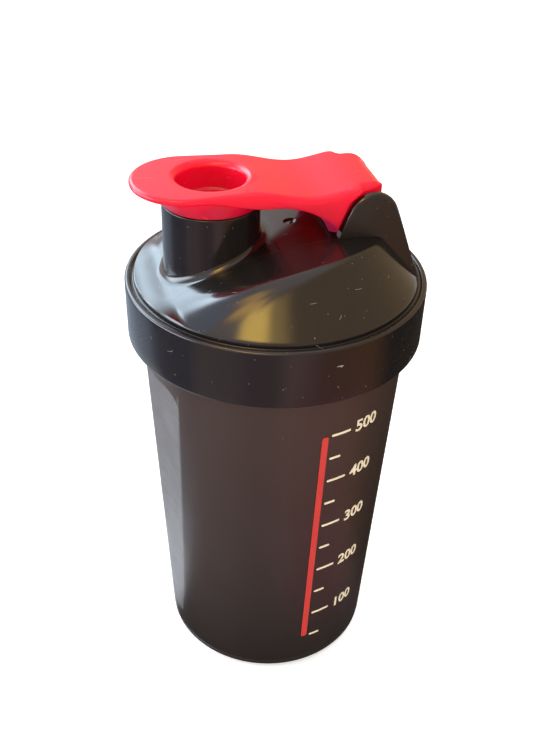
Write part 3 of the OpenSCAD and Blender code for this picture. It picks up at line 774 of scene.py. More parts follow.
def lid_loops(d):
    """Loops of the lid: collar, ledge, dome, spout, bore, inside, ring, seat and collar bore."""
    def between(outer_r, inner_r, t, height):
        loop = []
        for (x0, y0, _), (x1, y1, _) in zip(circle(outer_r, 0), circle(inner_r, 0, -d.spout_x)):
            x, y = mix(x0, x1, t), mix(y0, y1, t)
            loop.append((x, y, height(x, y)))
        return loop

    def outside(x, y):
        soft = mix(d.crease_front, HARD_CREASE, ease((x - FOOT_CREASE_X) / FOOT_CREASE_RUN))
        return soft_max(dome_height(d, x, y), d.dome_z, soft)

    def inside(x, y):
        return soft_max(dome_height(d, x, y, d.lid_wall), d.ring_z + RING_INSIDE, INSIDE_CREASE)

    def groove_top(x):
        low, high = d.seat_z + LEAST_GROOVE, d.seat_z + d.groove_h
        return max(min(high, dome_height(d, x, 0, d.lid_wall)), low)

    rim_foot_z = d.ledge_z - d.rim_h
    bead_z = d.ring_z + d.bead_w
    loops = [circle(r, z) for r, z in stepped(rounded([
        (d.collar_in_r, d.seat_z - COLLAR_START, 0), (d.collar_in_r, d.cup_h, EDGE_ROUND),
        (d.collar_low_r, d.cup_h, d.collar_round), (d.collar_top_r, d.ledge_z, d.collar_round),
        (d.collar_top_r - d.rim_w, d.ledge_z, EDGE_ROUND), (d.dome_r + GROOVE_W, rim_foot_z, GROOVE_ROUND),
        (d.dome_r, rim_foot_z, DOME_FOOT_ROUND), (d.dome_r, d.dome_z - DOME_EDGE_LOW, 0)]),
        lambda z: COLLAR_STEP)]
    loops.append(circle(d.dome_r - DOME_EDGE_MIDDLE[0], d.dome_z - DOME_EDGE_MIDDLE[1]))
    for t in spread(0, 1, DOME_STEPS):
        loops.append(between(d.dome_r - DOME_EDGE_IN, d.spout_r + d.spout_fillet, t, outside))
    for turn in spread(0, pi / 2, FILLET_STEPS, 1):
        reach = d.spout_r + d.spout_fillet * (1 - sin(turn))
        lift = d.spout_fillet * (1 - cos(turn))
        loops.append([(x, y, z + lift) for x, y, z in between(d.dome_r, reach, 1, outside)])
    wall = [circle(r, z, -d.spout_x) for r, z in rounded([
        (d.spout_r, d.shoulder_z - SHOULDER_START, 0), (d.spout_r, d.shoulder_z, SHOULDER_ROUND),
        (d.lip_r, d.shoulder_z, LIP_FOOT_ROUND), (d.lip_r - d.lip_taper, d.lip_z, LIP_ROUND),
        (d.bore_r, d.lip_z, LIP_ROUND), (d.bore_r, d.shoulder_z, 0)])]
    foot = loops[-1]
    for t in spread(0, 1, SPOUT_STEPS, 1)[:-1]:
        loops.append([mix(Vector(a), Vector(b), t) for a, b in zip(foot, wall[0])])
    loops += wall
    for t in spread(1, 0, INSIDE_STEPS):
        loops.append(between(d.ring_in_r, d.bore_r, t, inside))
    loops += [circle(r, z) for r, z in rounded([
        (d.ring_in_r, d.ring_z + RING_START, 0), (d.ring_in_r, d.ring_z, EDGE_ROUND),
        (d.bead_r, d.ring_z, EDGE_ROUND), (d.bead_r, bead_z, EDGE_ROUND), (d.ring_r, bead_z, BEAD_ROUND),
        (d.ring_r, d.seat_z - RING_END, 0)])]
    for r in (d.ring_r, d.groove_r):
        loops.append([(x, y, groove_top(x)) for x, y, _ in circle(r, 0)])
    loops += [circle(d.groove_r, d.seat_z), circle(d.collar_in_r, d.seat_z)]
    loops.append(loops[0])
    return loops


def dimple(d, piece):
    """Presses the moulding dimple, with its nub, into the lid's top."""
    pick(piece)
    bpy.ops.object.mode_set(mode="EDIT")
    middle = Vector((d.dimple_x, 0))
    skin_z = d.top_z - d.lid_wall
    for reach, cuts in DIMPLE_CUTS:
        bpy.ops.mesh.select_mode(type="FACE")
        bpy.ops.mesh.select_all(action="DESELECT")
        mesh = bmesh.from_edit_mesh(piece.data)
        for face in mesh.faces:
            at = face.calc_center_median() / MM
            if (at.xy - middle).length < reach and at.z > skin_z and face.normal.z > 0:
                face.select_set(True)
        bmesh.update_edit_mesh(piece.data)
        bpy.ops.mesh.subdivide(number_cuts=cuts)
    mesh = bmesh.from_edit_mesh(piece.data)
    for corner in mesh.verts:
        at = corner.co / MM
        off = at.xy - middle
        if off.length < d.dimple_r + DIMPLE_EDGE and at.z > skin_z:
            depth = d.dimple_h * (1 - ease((off.length - d.dimple_r + DIMPLE_IN) / DIMPLE_EDGE))
            beside = (off - Vector(NUB_PLACE)).length - NUB_R
            nub = NUB_H * (1 - ease(beside / NUB_EDGE))
            corner.co.z -= (depth - nub) * MM
    bmesh.update_edit_mesh(piece.data)
    bpy.ops.object.mode_set(mode="OBJECT")


def ear_outline(d):
    """Outline of a hinge ear: over its round head to the back, then along its foot to the front."""
    middle_y = (d.ear_in_y + d.ear_out_y) / 2

    def buried(x):
        return dome_height(d, x, middle_y) - EAR_BURY

    def foot(corner, lean, way):
        x, z = corner
        while z > buried(x) and hypot(x, middle_y) < d.dome_r - EAR_MARGIN:
            x += way * tan(lean) * EAR_STEP
            z -= EAR_STEP
        return x

    head = [(d.hinge_x + d.ear_r * cos(a), d.hinge_z + d.ear_r * sin(a))
            for a in spread(pi - d.ear_front_lean, d.ear_back_lean, EAR_HEAD_STEPS)]
    front = foot(head[0], d.ear_front_lean, -1)
    back = foot(head[-1], d.ear_back_lean, 1)
    return head + [(x, buried(x)) for x in spread(back, front, EAR_FOOT_STEPS)]


def ear(d, side):
    """One hinge ear: its outline is filled, extruded across, bevelled and bored for the pivot."""
    outline = ear_outline(d)
    inner, outer = side * d.ear_in_y, side * d.ear_out_y
    piece = added(
        "hinge_ear", bpy.ops.mesh.primitive_circle_add, vertices=len(outline), radius=MM, fill_type="NGON")
    bpy.ops.object.mode_set(mode="EDIT")
    mesh = bmesh.from_edit_mesh(piece.data)
    for corner in mesh.verts:
        x, z = outline[corner.index]
        corner.co = Vector((x, inner, z)) * MM
    bmesh.update_edit_mesh(piece.data)
    bpy.ops.mesh.select_all(action="SELECT")
    bpy.ops.mesh.extrude_region_move(TRANSFORM_OT_translate={"value": (0, (outer - inner) * MM, 0)})

    def on_rim(a, b):
        free = all(end.z > dome_height(d, end.x, d.ear_in_y) - EAR_FREE for end in (a, b))
        return free and abs(a.y - b.y) < SAME

    select_edges(piece, on_rim)
    bpy.ops.mesh.bevel(offset=d.ear_round * MM, segments=5, affect="EDGES")
    bpy.ops.mesh.select_all(action="SELECT")
    bpy.ops.mesh.normals_make_consistent(inside=False)
    bpy.ops.object.mode_set(mode="OBJECT")
    low, high = sorted((inner - side * CUT_PAST, inner + side * d.socket_h))
    cut(piece, rod("socket", d.socket_r, low, high, 0, (d.hinge_x, d.hinge_z)))
    return piece


class SHAKER_OT_lid(bpy.types.Operator):
    """Model the screw lid with its collar, crowned dome, spout and hinge ears"""
    bl_idname = "shaker.lid"
    bl_label = "Screw lid"

    def execute(self, context):
        d = sizes(context)
        lid = skin("lid_shell", lid_loops(d), capped=False)
        dimple(d, lid)
        ridges = thread(d, "lid_ridge", d.collar_in_r, -1, d.lid_thread_z, LID_THREAD_TURN)
        join(lid, ridges + [ear(d, -1), ear(d, 1)])
        finish_piece(lid, "lid", "lid_plastic", gloss_plastic(context), "screw_lid", smooth=34)
        return {"FINISHED"}


# Flip cap

# Steps along the cap's outline from above, and across its skin
TAB_STEPS = 26
ARM_STEPS = 34
ROOT_STEPS = 8
NOSE_STEPS = 10
BACK_STEPS = 3
TOP_STEPS = 28
TOP_EDGE_STEPS = 6
SIDE_STEPS = 6
LOW_EDGE_STEPS = 4
UNDER_STEPS = 18
SKIRT_STEPS = 5
PLUG_STEP = 2.5
PLUG_CORNER_STEPS = 7
JOINT_TRIES = 3
# Length over which the tab's rounding becomes the arm's, and roundings
TAB_RUN = 18
NOSE_ROUND = 0.45
LOW_ROUND = 0.6
UNDER_ROUND = 0.5
SKIRT_ROUND = 0.3
PLUG_TIP_ROUND = 0.9
PLUG_FLOOR_ROUND = 1.2
# Small distances that keep neighbouring loops apart
ROOT_GAP = 0.12
ARM_GAP = 0.05
LEAST_ROOM = 0.06
LEAST_SIDE = 0.02
SKIRT_GAP = 0.15
SKIRT_LEAN = 0.05
SKIRT_HEAD = 0.6
PLUG_HUB_R = 1.5
MOUTH_PAST = 2
# The block that hollows the arm: its corners, depth, and insets with drops that round its top
HOLLOW_STEPS = 10
HOLLOW_CORNER = 1.2
HOLLOW_CORNER_STEPS = 4
HOLLOW_STRAIGHT = 4
HOLLOW_DROP = 14
HOLLOW_TOP = ((0, 1.2), (0.16, 0.6), (0.6, 0.16), (1.2, 0))
HOLLOW_SHARES = (0.3, 0.6, 0.9)
PIVOT_BURY = 0.5
PIVOT_BEVEL = 0.3


def cap_top(d, x):
    """Height of the cap's top along its length: flat disc, saddle, hump and nose."""
    if x < d.saddle_x:
        return mix(d.cap_top_z, d.saddle_z, ease((x + d.saddle_x0) / (d.saddle_x + d.saddle_x0)))
    if x < d.hinge_x:
        return mix(d.saddle_z, d.hump_z, ease((x - d.saddle_x) / (d.hump_x - d.saddle_x)))
    drop = max(d.nose_r ** 2 - (x - d.hinge_x) ** 2, 0)
    return d.hump_z - d.nose_r + sqrt(drop)


def cap_low(d, x):
    """Height of the cap's lower edge along its length: tab, arch, root and knuckle."""
    if x < -d.arch_x:
        return mix(d.tab_under_z, d.side_z, ease((x + d.tab_x) / (d.tab_x - d.arch_x)))
    arch_z = d.side_z - d.arch_r + sqrt(d.arch_r ** 2 - (min(x, d.arch_end) + d.arch_x) ** 2)
    if x < d.arch_end:
        return arch_z
    if x < d.hinge_x:
        return mix(arch_z, d.hinge_z - d.knuckle_r, (x - d.arch_end) / (d.hinge_x - d.arch_end))
    return d.hinge_z - sqrt(max(d.knuckle_r ** 2 - (x - d.hinge_x) ** 2, 0))


def arm_width(d, x):
    """Half width of the arm along its length."""
    if x < d.saddle_x:
        return d.waist_w + (d.tab_r - d.waist_w) * ((d.saddle_x - x) / (d.saddle_x + d.tab_x)) ** 2
    return d.waist_w + (d.root_w - d.waist_w) * ((x - d.saddle_x) / (d.root_x - d.saddle_x)) ** 2


def arm_end(d, z):
    """Where the arm ends at a height: it wraps the ears' heads, then follows their leaning front."""
    reach = d.ear_r + d.ear_gap
    rise = z - d.hinge_z
    if rise > reach * cos(d.ear_wrap):
        return d.hinge_x - reach * sin(d.ear_wrap)
    low = reach * sin(d.ear_front_lean)
    if rise > low:
        return d.hinge_x - sqrt(reach ** 2 - rise ** 2)
    return d.hinge_x - reach * cos(d.ear_front_lean) - (low - rise) * tan(d.ear_front_lean)


def cap_outline(d):
    """The cap seen from above: round tab, waisted arm and tongue, all the way round."""
    end = arm_end(d, d.cap_top_z)
    turn_x = end - d.root_sweep
    turn_y = arm_width(d, turn_x) - d.root_corner
    bend_x = d.tongue_x - d.nose_corner
    bend_y = d.tongue_w - d.nose_corner
    half = [(-d.tab_x + d.tab_r * cos(a), d.tab_r * sin(a)) for a in spread(pi, pi / 2, TAB_STEPS)]
    half += [(x, arm_width(d, x)) for x in spread(-d.tab_x, turn_x, ARM_STEPS, 1)]
    half += [(turn_x + d.root_sweep * cos(a), turn_y + d.root_corner * sin(a))
             for a in spread(pi / 2, 0, ROOT_STEPS, 1)[:-1]]
    half += [(end, d.tongue_w + ROOT_GAP), (end, d.tongue_w), (bend_x, d.tongue_w)]
    half += [(bend_x + d.nose_corner * cos(a), bend_y + d.nose_corner * sin(a))
             for a in spread(pi / 2, 0, NOSE_STEPS, 1)]
    half += [(d.tongue_x, y) for y in spread(bend_y, 0, BACK_STEPS, 1)]
    return half + [(x, -y) for x, y in half[-2:0:-1]]


def inward_ways(outline):
    """Unit directions that point into an outline at its corners."""
    ways = []
    for before, after in zip(outline[-1:] + outline[:-1], outline[1:] + outline[:1]):
        along = (after - before).normalized()
        ways.append(Vector((along.y, -along.x)))
    return ways


def cap_loops(d):
    """Loops of the cap from the plug's hollow over the top, round the edge and under to the plug's end."""
    outline = [Vector(p) for p in cap_outline(d)]
    ways = inward_ways(outline)
    turns = [atan2(p.y, p.x + d.spout_x) for p in outline]
    axis = Vector((-d.spout_x, 0))
    root_end = arm_end(d, d.cap_top_z)

    def ring(r, z):
        return [(-d.spout_x + r * cos(a), r * sin(a), z) for a in turns]

    def top_round(x, way):
        if x > root_end + SAME:
            return mix(d.tongue_round, NOSE_ROUND, abs(way.x))
        return mix(d.tab_round, d.arm_round, ease((x + d.tab_x) / TAB_RUN))

    def low_round(x):
        return mix(d.tab_round, LOW_ROUND, ease((x + d.tab_x) / TAB_RUN))

    def kept(x, y, z, inset=0.0):
        """A place of the arm, held in front of the ears and inside its own width."""
        if abs(y) > d.tongue_w + ARM_GAP and x > d.saddle_x:
            share = (x - d.saddle_x) / (root_end - d.saddle_x)
            x = mix(d.saddle_x, arm_end(d, z), min(share, 1))
            room = max(arm_width(d, x) - inset, d.tongue_w + LEAST_ROOM)
            y = max(min(y, room), -room)
        return x, y, z

    # The plug's hollow, and the top out to its edge
    floor_z = d.plug_z + d.plug_wall
    hollow_r, tip_r = d.plug_r - d.plug_wall, d.plug_tip_r - d.plug_wall
    mouth_r = hollow_r + d.mouth_round
    hollow = rounded([
        (PLUG_HUB_R, floor_z, 0), (tip_r, floor_z, PLUG_FLOOR_ROUND),
        (hollow_r, d.cap_top_z, d.mouth_round), (mouth_r + MOUTH_PAST, d.cap_top_z, 0)],
        PLUG_CORNER_STEPS)[:-1]
    loops = [ring(r, z) for r, z in stepped(hollow, lambda z: PLUG_STEP)]
    top_edge = [p + way * top_round(p.x, way) for p, way in zip(outline, ways)]
    for t in spread(0, 1, TOP_STEPS, 1):
        loop = []
        for edge, a in zip(top_edge, turns):
            x = mix(-d.spout_x + mouth_r * cos(a), edge.x, t)
            y = mix(mouth_r * sin(a), edge.y, t)
            loop.append((x, y, cap_top(d, x)))
        loops.append(loop)

    # The upper edge, the side and the lower edge
    for turn in spread(pi / 2, 0, TOP_EDGE_STEPS, 1):
        loop = []
        for p, way, edge in zip(outline, ways, top_edge):
            r = top_round(p.x, way)
            q = p + way * r * (1 - cos(turn))
            loop.append(kept(q.x, q.y, cap_top(d, edge.x) - r * (1 - sin(turn))))
        loops.append(loop)
    side_top = loops[-1]
    for t in spread(0, 1, SIDE_STEPS, 1):
        loop = []
        for p, (_, _, high) in zip(outline, side_top):
            low = min(cap_low(d, p.x) + low_round(p.x), high - LEAST_SIDE)
            loop.append(kept(p.x, p.y, mix(high, low, t)))
        loops.append(loop)
    for turn in spread(0, pi / 2, LOW_EDGE_STEPS, 1):
        loop = []
        for p, way in zip(outline, ways):
            r = low_round(p.x)
            inset, lift = r * (1 - cos(turn)), r * (1 - sin(turn))
            q = p + way * inset
            x, y, _ = kept(q.x, q.y, cap_low(d, q.x) + lift, inset)
            loop.append((x, y, cap_low(d, x) + lift))
        loops.append(loop)

    # The underside in to the skirt, and down the skirt
    slope = d.skirt_flare / (d.tab_under_z + SKIRT_HEAD - d.skirt_z)
    joints = []
    for p, a in zip(outline, turns):
        reach = (p - axis).length - low_round(p.x) - SKIRT_GAP
        r = d.skirt_low_r + d.skirt_flare
        for _ in range(JOINT_TRIES):
            z = cap_low(d, -d.spout_x + r * cos(a))
            r = min(d.skirt_low_r + (z - d.skirt_z) * slope, reach)
        joints.append((r, z))
    low_edge = loops[-1]
    for t in spread(0, 1, UNDER_STEPS, 1):
        loop = []
        for (x, y, _), (r, _), a in zip(low_edge, joints, turns):
            x, y = mix(x, -d.spout_x + r * cos(a), t), mix(y, r * sin(a), t)
            loop.append((x, y, cap_low(d, x)))
        loops.append(loop)
    for t in spread(0, 1, SKIRT_STEPS, 1)[:-1]:
        loop = []
        for (joint_r, joint_z), a in zip(joints, turns):
            r = mix(joint_r, d.skirt_low_r, t)
            loop.append((-d.spout_x + r * cos(a), r * sin(a), mix(joint_z, d.skirt_z + SKIRT_ROUND, t)))
        loops.append(loop)

    # The skirt's edge, the room for the spout's lip and the plug's outside
    loops += [ring(r, z) for r, z in stepped(rounded([
        (d.skirt_low_r + SKIRT_LEAN, d.skirt_z + 2 * SKIRT_ROUND, 0),
        (d.skirt_low_r, d.skirt_z, SKIRT_ROUND), (d.skirt_in_r, d.skirt_z, SKIRT_ROUND),
        (d.skirt_in_r, d.cap_under_z, UNDER_ROUND),
        (d.plug_r, d.cap_under_z, UNDER_ROUND), (d.plug_tip_r, d.plug_z, PLUG_TIP_ROUND),
        (PLUG_HUB_R, d.plug_z, 0)]), lambda z: PLUG_STEP)]
    return loops


def arm_hollow(d):
    """Block that hollows the arm from below, with rounded corners."""
    x0, x1 = -d.hollow_x0, d.hollow_x1

    def wide(x):
        return arm_width(d, x) - d.arm_wall

    def under_top(x):
        return cap_top(d, x) - d.arm_skin

    side = [(x, wide(x), 0) for x in spread(x0, x1, HOLLOW_STEPS)]
    for end in (0, -1):
        side[end] = (*side[end][:2], HOLLOW_CORNER)
    line = rounded([
        (x0, 0.0, 0), (x0, wide(x0) - HOLLOW_STRAIGHT, 0), *side,
        (x1, wide(x1) - HOLLOW_STRAIGHT, 0), (x1, 0.0, 0)], HOLLOW_CORNER_STEPS)
    outline = line + [Vector((p.x, -p.y)) for p in line[-2:0:-1]]
    middle = Vector(((x0 + x1) / 2, 0))
    loops = [[(p.x, p.y, d.hinge_z - HOLLOW_DROP) for p in outline]]
    for inset, drop in HOLLOW_TOP:
        loop = []
        for p in outline:
            x, y = p + (middle - p).normalized() * inset
            loop.append((x, y, under_top(x) - drop))
        loops.append(loop)
    last = loops[-1]
    for t in HOLLOW_SHARES:
        loop = []
        for x, y, _ in last:
            x, y = mix(x, middle.x, t), mix(y, 0, t)
            loop.append((x, y, under_top(x)))
        loops.append(loop)
    return skin("arm_hollow", loops, capped=True)


class SHAKER_OT_cap(bpy.types.Operator):
    """Model the flip cap with its thumb tab, plug, skirt, saddle-shaped arm and hinge tongue"""
    bl_idname = "shaker.cap"
    bl_label = "Flip cap"

    def execute(self, context):
        d = sizes(context)
        cap = skin("cap_shell", cap_loops(d), capped=True)
        cut(cap, arm_hollow(d))
        pivots = []
        for side in (1, -1):
            low, high = sorted((side * (d.tongue_w - PIVOT_BURY), side * d.pivot_y))
            pivots.append(rod("pivot", d.pivot_r, low, high, PIVOT_BEVEL, (d.hinge_x, d.hinge_z)))
        join(cap, pivots)
        finish_piece(cap, "cap", "cap_plastic", red_plastic(context), "flip_cap", smooth=36)
        return {"FINISHED"}


# Materials

NOISE_ROUGH = 0.55
# Plain noise hardly leaves this range
NOISE_LOW = 0.3
NOISE_HIGH = 0.7
# A fibre's bend, half thickness and half length in its cell, and the most that it is turned
FIBRE_BEND = 1.6
FIBRE_THIN = 0.007
FIBRE_HALF = 0.16
FIBRE_TURN = 6.283
# How near a place must lie to an ear's face or a grip flat, in millimetres, to be on it
EAR_NEAR = 0.05
FLAT_NEAR = 0.12
# Cup tones: warmer above, painted shade below; rubbed plastic with a painted sheen is pale
WARM = (1.3, 0.98, 0.85)
RUBBED_AND_SHEEN = (0.32, 0.33, 0.35)
PALE_RED = (0.9, 0.6, 0.6)


def feed(tree, node, sockets):
    """Links sockets of a node to results, or sets them to plain values."""
    for key, value in sockets.items():
        if isinstance(value, bpy.types.NodeSocket):
            tree.links.new(value, node.inputs[key])
        else:
            node.inputs[key].default_value = value


def put(tree, kind, sockets=None, **settings):
    """Adds a node, sets it up and feeds it. Gives the node."""
    node = tree.nodes.new("ShaderNode" + kind)
    for key, value in settings.items():
        setattr(node, key, value)
    feed(tree, node, sockets or {})
    return node


def calc(tree, operation, a, b=0.0, c=0.0):
    """A Math node's result."""
    return put(tree, "Math", {0: a, 1: b, 2: c}, operation=operation).outputs[0]


def product(tree, *values):
    """Values multiplied by each other."""
    result = values[0]
    for value in values[1:]:
        result = calc(tree, "MULTIPLY", result, value)
    return result


def add_share(tree, value, share, base):
    """A base with a share of a value added."""
    return calc(tree, "MULTIPLY_ADD", value, share, base)


def within(tree, value, limit):
    """1 where a value is nearer to 0 than a limit, and 0 elsewhere."""
    return calc(tree, "LESS_THAN", calc(tree, "ABSOLUTE", value), limit)


def split(tree, vector):
    """The three parts of a vector."""
    return tuple(put(tree, "SeparateXYZ", {0: vector}).outputs)


def blank(name):
    """A new material with its tree, shader and object coordinates."""
    material = bpy.data.materials.new(name)
    material.use_nodes = True
    tree = material.node_tree
    shader = tree.nodes["Principled BSDF"]
    place = put(tree, "TexCoord").outputs["Object"]
    return material, tree, shader, place


def noise(tree, place, scale, detail=3.0):
    """Plain noise between 0 and 1."""
    sockets = {"Vector": place, "Scale": scale, "Detail": detail, "Roughness": NOISE_ROUGH}
    return put(tree, "TexNoise", sockets).outputs["Fac"]


def stretched(tree, place, scale, turn):
    """Coordinates that are turned, then stretched along one way."""
    return put(tree, "Mapping", {"Vector": place, "Rotation": turn, "Scale": scale}).outputs["Vector"]


def ramp(tree, value, low, high, from_low=0.0, from_high=1.0):
    """A value carried from one range to another, and held there."""
    sockets = {"Value": value, "From Min": from_low, "From Max": from_high, "To Min": low, "To Max": high}
    return put(tree, "MapRange", sockets).outputs["Result"]


def uneven(tree, place, scale, low, high, detail=3.0):
    """A value that wanders between two ends."""
    return ramp(tree, noise(tree, place, scale, detail), low, high, NOISE_LOW, NOISE_HIGH)


def two_colours(tree, share, first, second):
    """A mix of two colours, each a socket or a plain colour."""
    tones = {0: share}
    for index, tone in ((6, first), (7, second)):
        tones[index] = tone if isinstance(tone, bpy.types.NodeSocket) else (*tone, 1)
    return put(tree, "Mix", tones, data_type="RGBA").outputs[2]


def specks(tree, place, scale, size, kept):
    """Round dust specks: 1 on a speck and 0 beside it."""
    cells = put(tree, "TexVoronoi", {"Vector": place, "Scale": scale})
    chance = put(tree, "SeparateColor", {0: cells.outputs["Color"]}).outputs[0]
    near = ramp(tree, cells.outputs["Distance"], 1, 0, size / 2, size)
    return product(tree, near, calc(tree, "LESS_THAN", chance, kept))


def lint(tree, place, scale, kept):
    """Short bent fibres, each turned its own way: 1 on a fibre and 0 beside it."""
    def grown(vector, times):
        return put(tree, "VectorMath", {0: vector, 3: times}, operation="SCALE").outputs[0]

    cells = put(tree, "TexVoronoi", {"Vector": place, "Scale": scale})
    chance = put(tree, "SeparateColor", {0: cells.outputs["Color"]}).outputs[0]
    ends = {0: grown(place, scale), 1: grown(cells.outputs["Position"], scale)}
    off = put(tree, "VectorMath", ends, operation="SUBTRACT").outputs[0]
    turn = grown(cells.outputs["Color"], FIBRE_TURN)
    turned = put(tree, "VectorRotate", {"Vector": off, "Rotation": turn}, rotation_type="EULER_XYZ")
    along, beside, above = split(tree, turned.outputs[0])
    bent = add_share(tree, product(tree, along, along), FIBRE_BEND, beside)
    some = calc(tree, "LESS_THAN", chance, kept)
    short, level = within(tree, along, FIBRE_HALF), within(tree, above, FIBRE_HALF)
    return product(tree, within(tree, bent, FIBRE_THIN), short, level, some)


def scratches(tree, place, turn):
    """Fine scratches along one way: near 1 in a scratch."""
    streaks = noise(tree, stretched(tree, place, (28, 1500, 1500), turn), 1.0, 2.0)
    patches = noise(tree, place, 55, 2.0)
    return product(tree, ramp(tree, streaks, 0, 1, 0.63, 0.74), ramp(tree, patches, 0, 1, 0.46, 0.62))


def bump(tree, height, strength, distance):
    """A bump's normal."""
    sockets = {"Height": height, "Strength": strength, "Distance": distance}
    return put(tree, "Bump", sockets).outputs["Normal"]


def finish_colour(context, name):
    """A colour of the panel."""
    return tuple(getattr(context.scene.shaker_finish, name))


def scaled(rgb, share):
    """A colour made lighter or darker."""
    return tuple(min(part * share, 1) for part in rgb)


def ear_share(tree, context, place):
    """1 on the outer faces of the hinge ears and 0 beside them."""
    d = sizes(context)
    _, y, z = split(tree, place)
    off = calc(tree, "SUBTRACT", calc(tree, "ABSOLUTE", y), d.ear_out_y * MM)
    above = calc(tree, "GREATER_THAN", z, d.dome_z * MM)
    return product(tree, within(tree, off, EAR_NEAR * MM), above)


def flat_share(tree, context, place):
    """1 on the grip flats of the cup and 0 beside them."""
    d = sizes(context)
    x, y, z = split(tree, place)
    out = calc(tree, "ADD", product(tree, x, cos(d.flat_turn)), product(tree, y, sin(d.flat_turn)))
    face = add_share(tree, z, d.flat_lean, (d.flat_low_d - d.flat_low * d.flat_lean) * MM)
    off = calc(tree, "SUBTRACT", calc(tree, "ABSOLUTE", out), face)
    below = calc(tree, "LESS_THAN", z, d.flat_high * MM)
    above = calc(tree, "GREATER_THAN", z, d.flat_low * MM)
    return product(tree, within(tree, off, FLAT_NEAR * MM), below, above)


def gloss_plastic(context):
    """Glossy black plastic with fine scratches, dust and lint."""
    material, tree, shader, place = blank("Lid gloss")
    black = finish_colour(context, "lid")
    cloudy = two_colours(tree, noise(tree, place, 40), black, scaled(black, 1.9))
    coarse = specks(tree, place, scale=420, size=0.08, kept=0.05)
    fine = product(tree, specks(tree, place, scale=800, size=0.14, kept=0.10), 0.45)
    fibres = product(tree, lint(tree, place, scale=150, kept=0.4), 0.7)
    dirt = calc(tree, "MAXIMUM", coarse, calc(tree, "MAXIMUM", fine, fibres))
    first, second = scratches(tree, place, turn=(0, 0, 0.7)), scratches(tree, place, turn=(0, 0.3, -0.5))
    lines = calc(tree, "ADD", first, second)
    soft = add_share(tree, ear_share(tree, context, place), 0.24, uneven(tree, place, 90, 0.11, 0.18))
    ripple = add_share(tree, lines, 0.35, noise(tree, place, 70, 1.0))
    feed(tree, shader, {
        "Base Color": two_colours(tree, product(tree, dirt, 0.7), cloudy, finish_colour(context, "dust")),
        "Roughness": add_share(tree, lines, 0.10, add_share(tree, dirt, 0.5, soft)),
        "Normal": bump(tree, ripple, 0.03, 0.0002),
        "IOR": 1.52,
        "Specular IOR Level": 0.62,
    })
    return material


def smoked_plastic(context):
    """Dark smoked satin plastic with a little dust, painted shade low down, and brushed flats with a
    painted sheen.
    """
    material, tree, shader, place = blank("Cup smoke")
    smoke = finish_colour(context, "cup")
    warm = tuple(part * share for part, share in zip(smoke, WARM))
    # Painted shade: the cup's tone darkens towards the foot, and is warmer higher up
    height = ramp(tree, split(tree, place)[2], 0, 1, 0.02, 0.12)
    tone = two_colours(tree, height, scaled(smoke, 0.35), warm)
    clouds = product(tree, noise(tree, place, 30, 4.0), 0.4)
    cloudy = two_colours(tree, clouds, tone, scaled(smoke, 1.3))
    flat = flat_share(tree, context, place)
    streaks = noise(tree, stretched(tree, place, (90, 90, 2600), (0, 0, 0)), 1.0)
    rub = product(tree, ramp(tree, streaks, 0, 1, 0.5, 0.72), flat)
    # The flats are made paler, partly as rubbed plastic and partly as a painted sheen
    rubbed_and_sheen = two_colours(tree, add_share(tree, rub, 0.36, product(tree, flat, 0.16)), cloudy, RUBBED_AND_SHEEN)
    dirt = specks(tree, place, scale=260, size=0.055, kept=0.045)
    soft = uneven(tree, place, 70, 0.33, 0.43, 4.0)
    grain = add_share(tree, rub, 0.5, noise(tree, place, 2600, 1.0))
    feed(tree, shader, {
        "Base Color": two_colours(tree, product(tree, dirt, 0.7), rubbed_and_sheen, finish_colour(context, "dust")),
        "Roughness": add_share(tree, rub, 0.12, add_share(tree, dirt, 0.3, soft)),
        "Normal": bump(tree, grain, 0.10, 0.0001),
        "IOR": 1.5,
    })
    return material


def red_plastic(context):
    """Red satin plastic that lets a little light into its surface."""
    material, tree, shader, place = blank("Cap red")
    red = finish_colour(context, "cap")
    cloudy = two_colours(tree, noise(tree, place, 45, 4.0), scaled(red, 0.93), scaled(red, 1.06))
    lines = scratches(tree, place, turn=(0, 0, 0.4))
    dirt = specks(tree, place, scale=500, size=0.07, kept=0.02)
    worn = add_share(tree, lines, 0.05, product(tree, dirt, 0.5))
    feed(tree, shader, {
        "Base Color": two_colours(tree, worn, cloudy, PALE_RED),
        "Roughness": add_share(tree, lines, 0.08, uneven(tree, place, 120, 0.19, 0.27)),
        "Normal": bump(tree, noise(tree, place, 700, 2.0), 0.05, 0.0001),
        "Subsurface Weight": 0.8,
        "Subsurface Radius": (1.0, 0.12, 0.08),
        "Subsurface Scale": 0.009,
    })
    return material


def moulded_plastic(context):
    """Plain black moulded plastic of the mixing grid."""
    material, tree, shader, place = blank("Grid moulded")
    black = finish_colour(context, "grid")
    clouds = noise(tree, place, 120, 4.0)
    feed(tree, shader, {
        "Base Color": two_colours(tree, clouds, scaled(black, 0.8), scaled(black, 1.5)),
        "Roughness": uneven(tree, place, 300, 0.38, 0.55),
        "Normal": bump(tree, noise(tree, place, 1800, 2.0), 0.15, 0.0001),
    })
    return material


def silicone(context):
    """Pale silicone of the gasket."""
    material, tree, shader, place = blank("Gasket silicone")
    pale = finish_colour(context, "gasket")
    feed(tree, shader, {
        "Base Color": two_colours(tree, noise(tree, place, 150, 4.0), scaled(pale, 0.88), pale),
        "Roughness": uneven(tree, place, 400, 0.55, 0.7),
        "Normal": bump(tree, noise(tree, place, 900), 0.2, 0.0001),
    })
    return material


def ink(context, name, tone):
    """Printed ink, a little uneven and worn."""
    material, tree, shader, place = blank(name)
    rgb = finish_colour(context, tone)
    cloudy = two_colours(tree, noise(tree, place, 350, 4.0), scaled(rgb, 0.86), rgb)
    worn = ramp(tree, noise(tree, place, 900, 5.0), 0, 0.5, 0.66, 0.78)
    feed(tree, shader, {
        "Base Color": two_colours(tree, worn, cloudy, scaled(rgb, 0.35)),
        "Roughness": uneven(tree, place, 500, 0.42, 0.58),
        "Normal": bump(tree, noise(tree, place, 1500, 2.0), 0.1, 0.00005),
    })
    return material


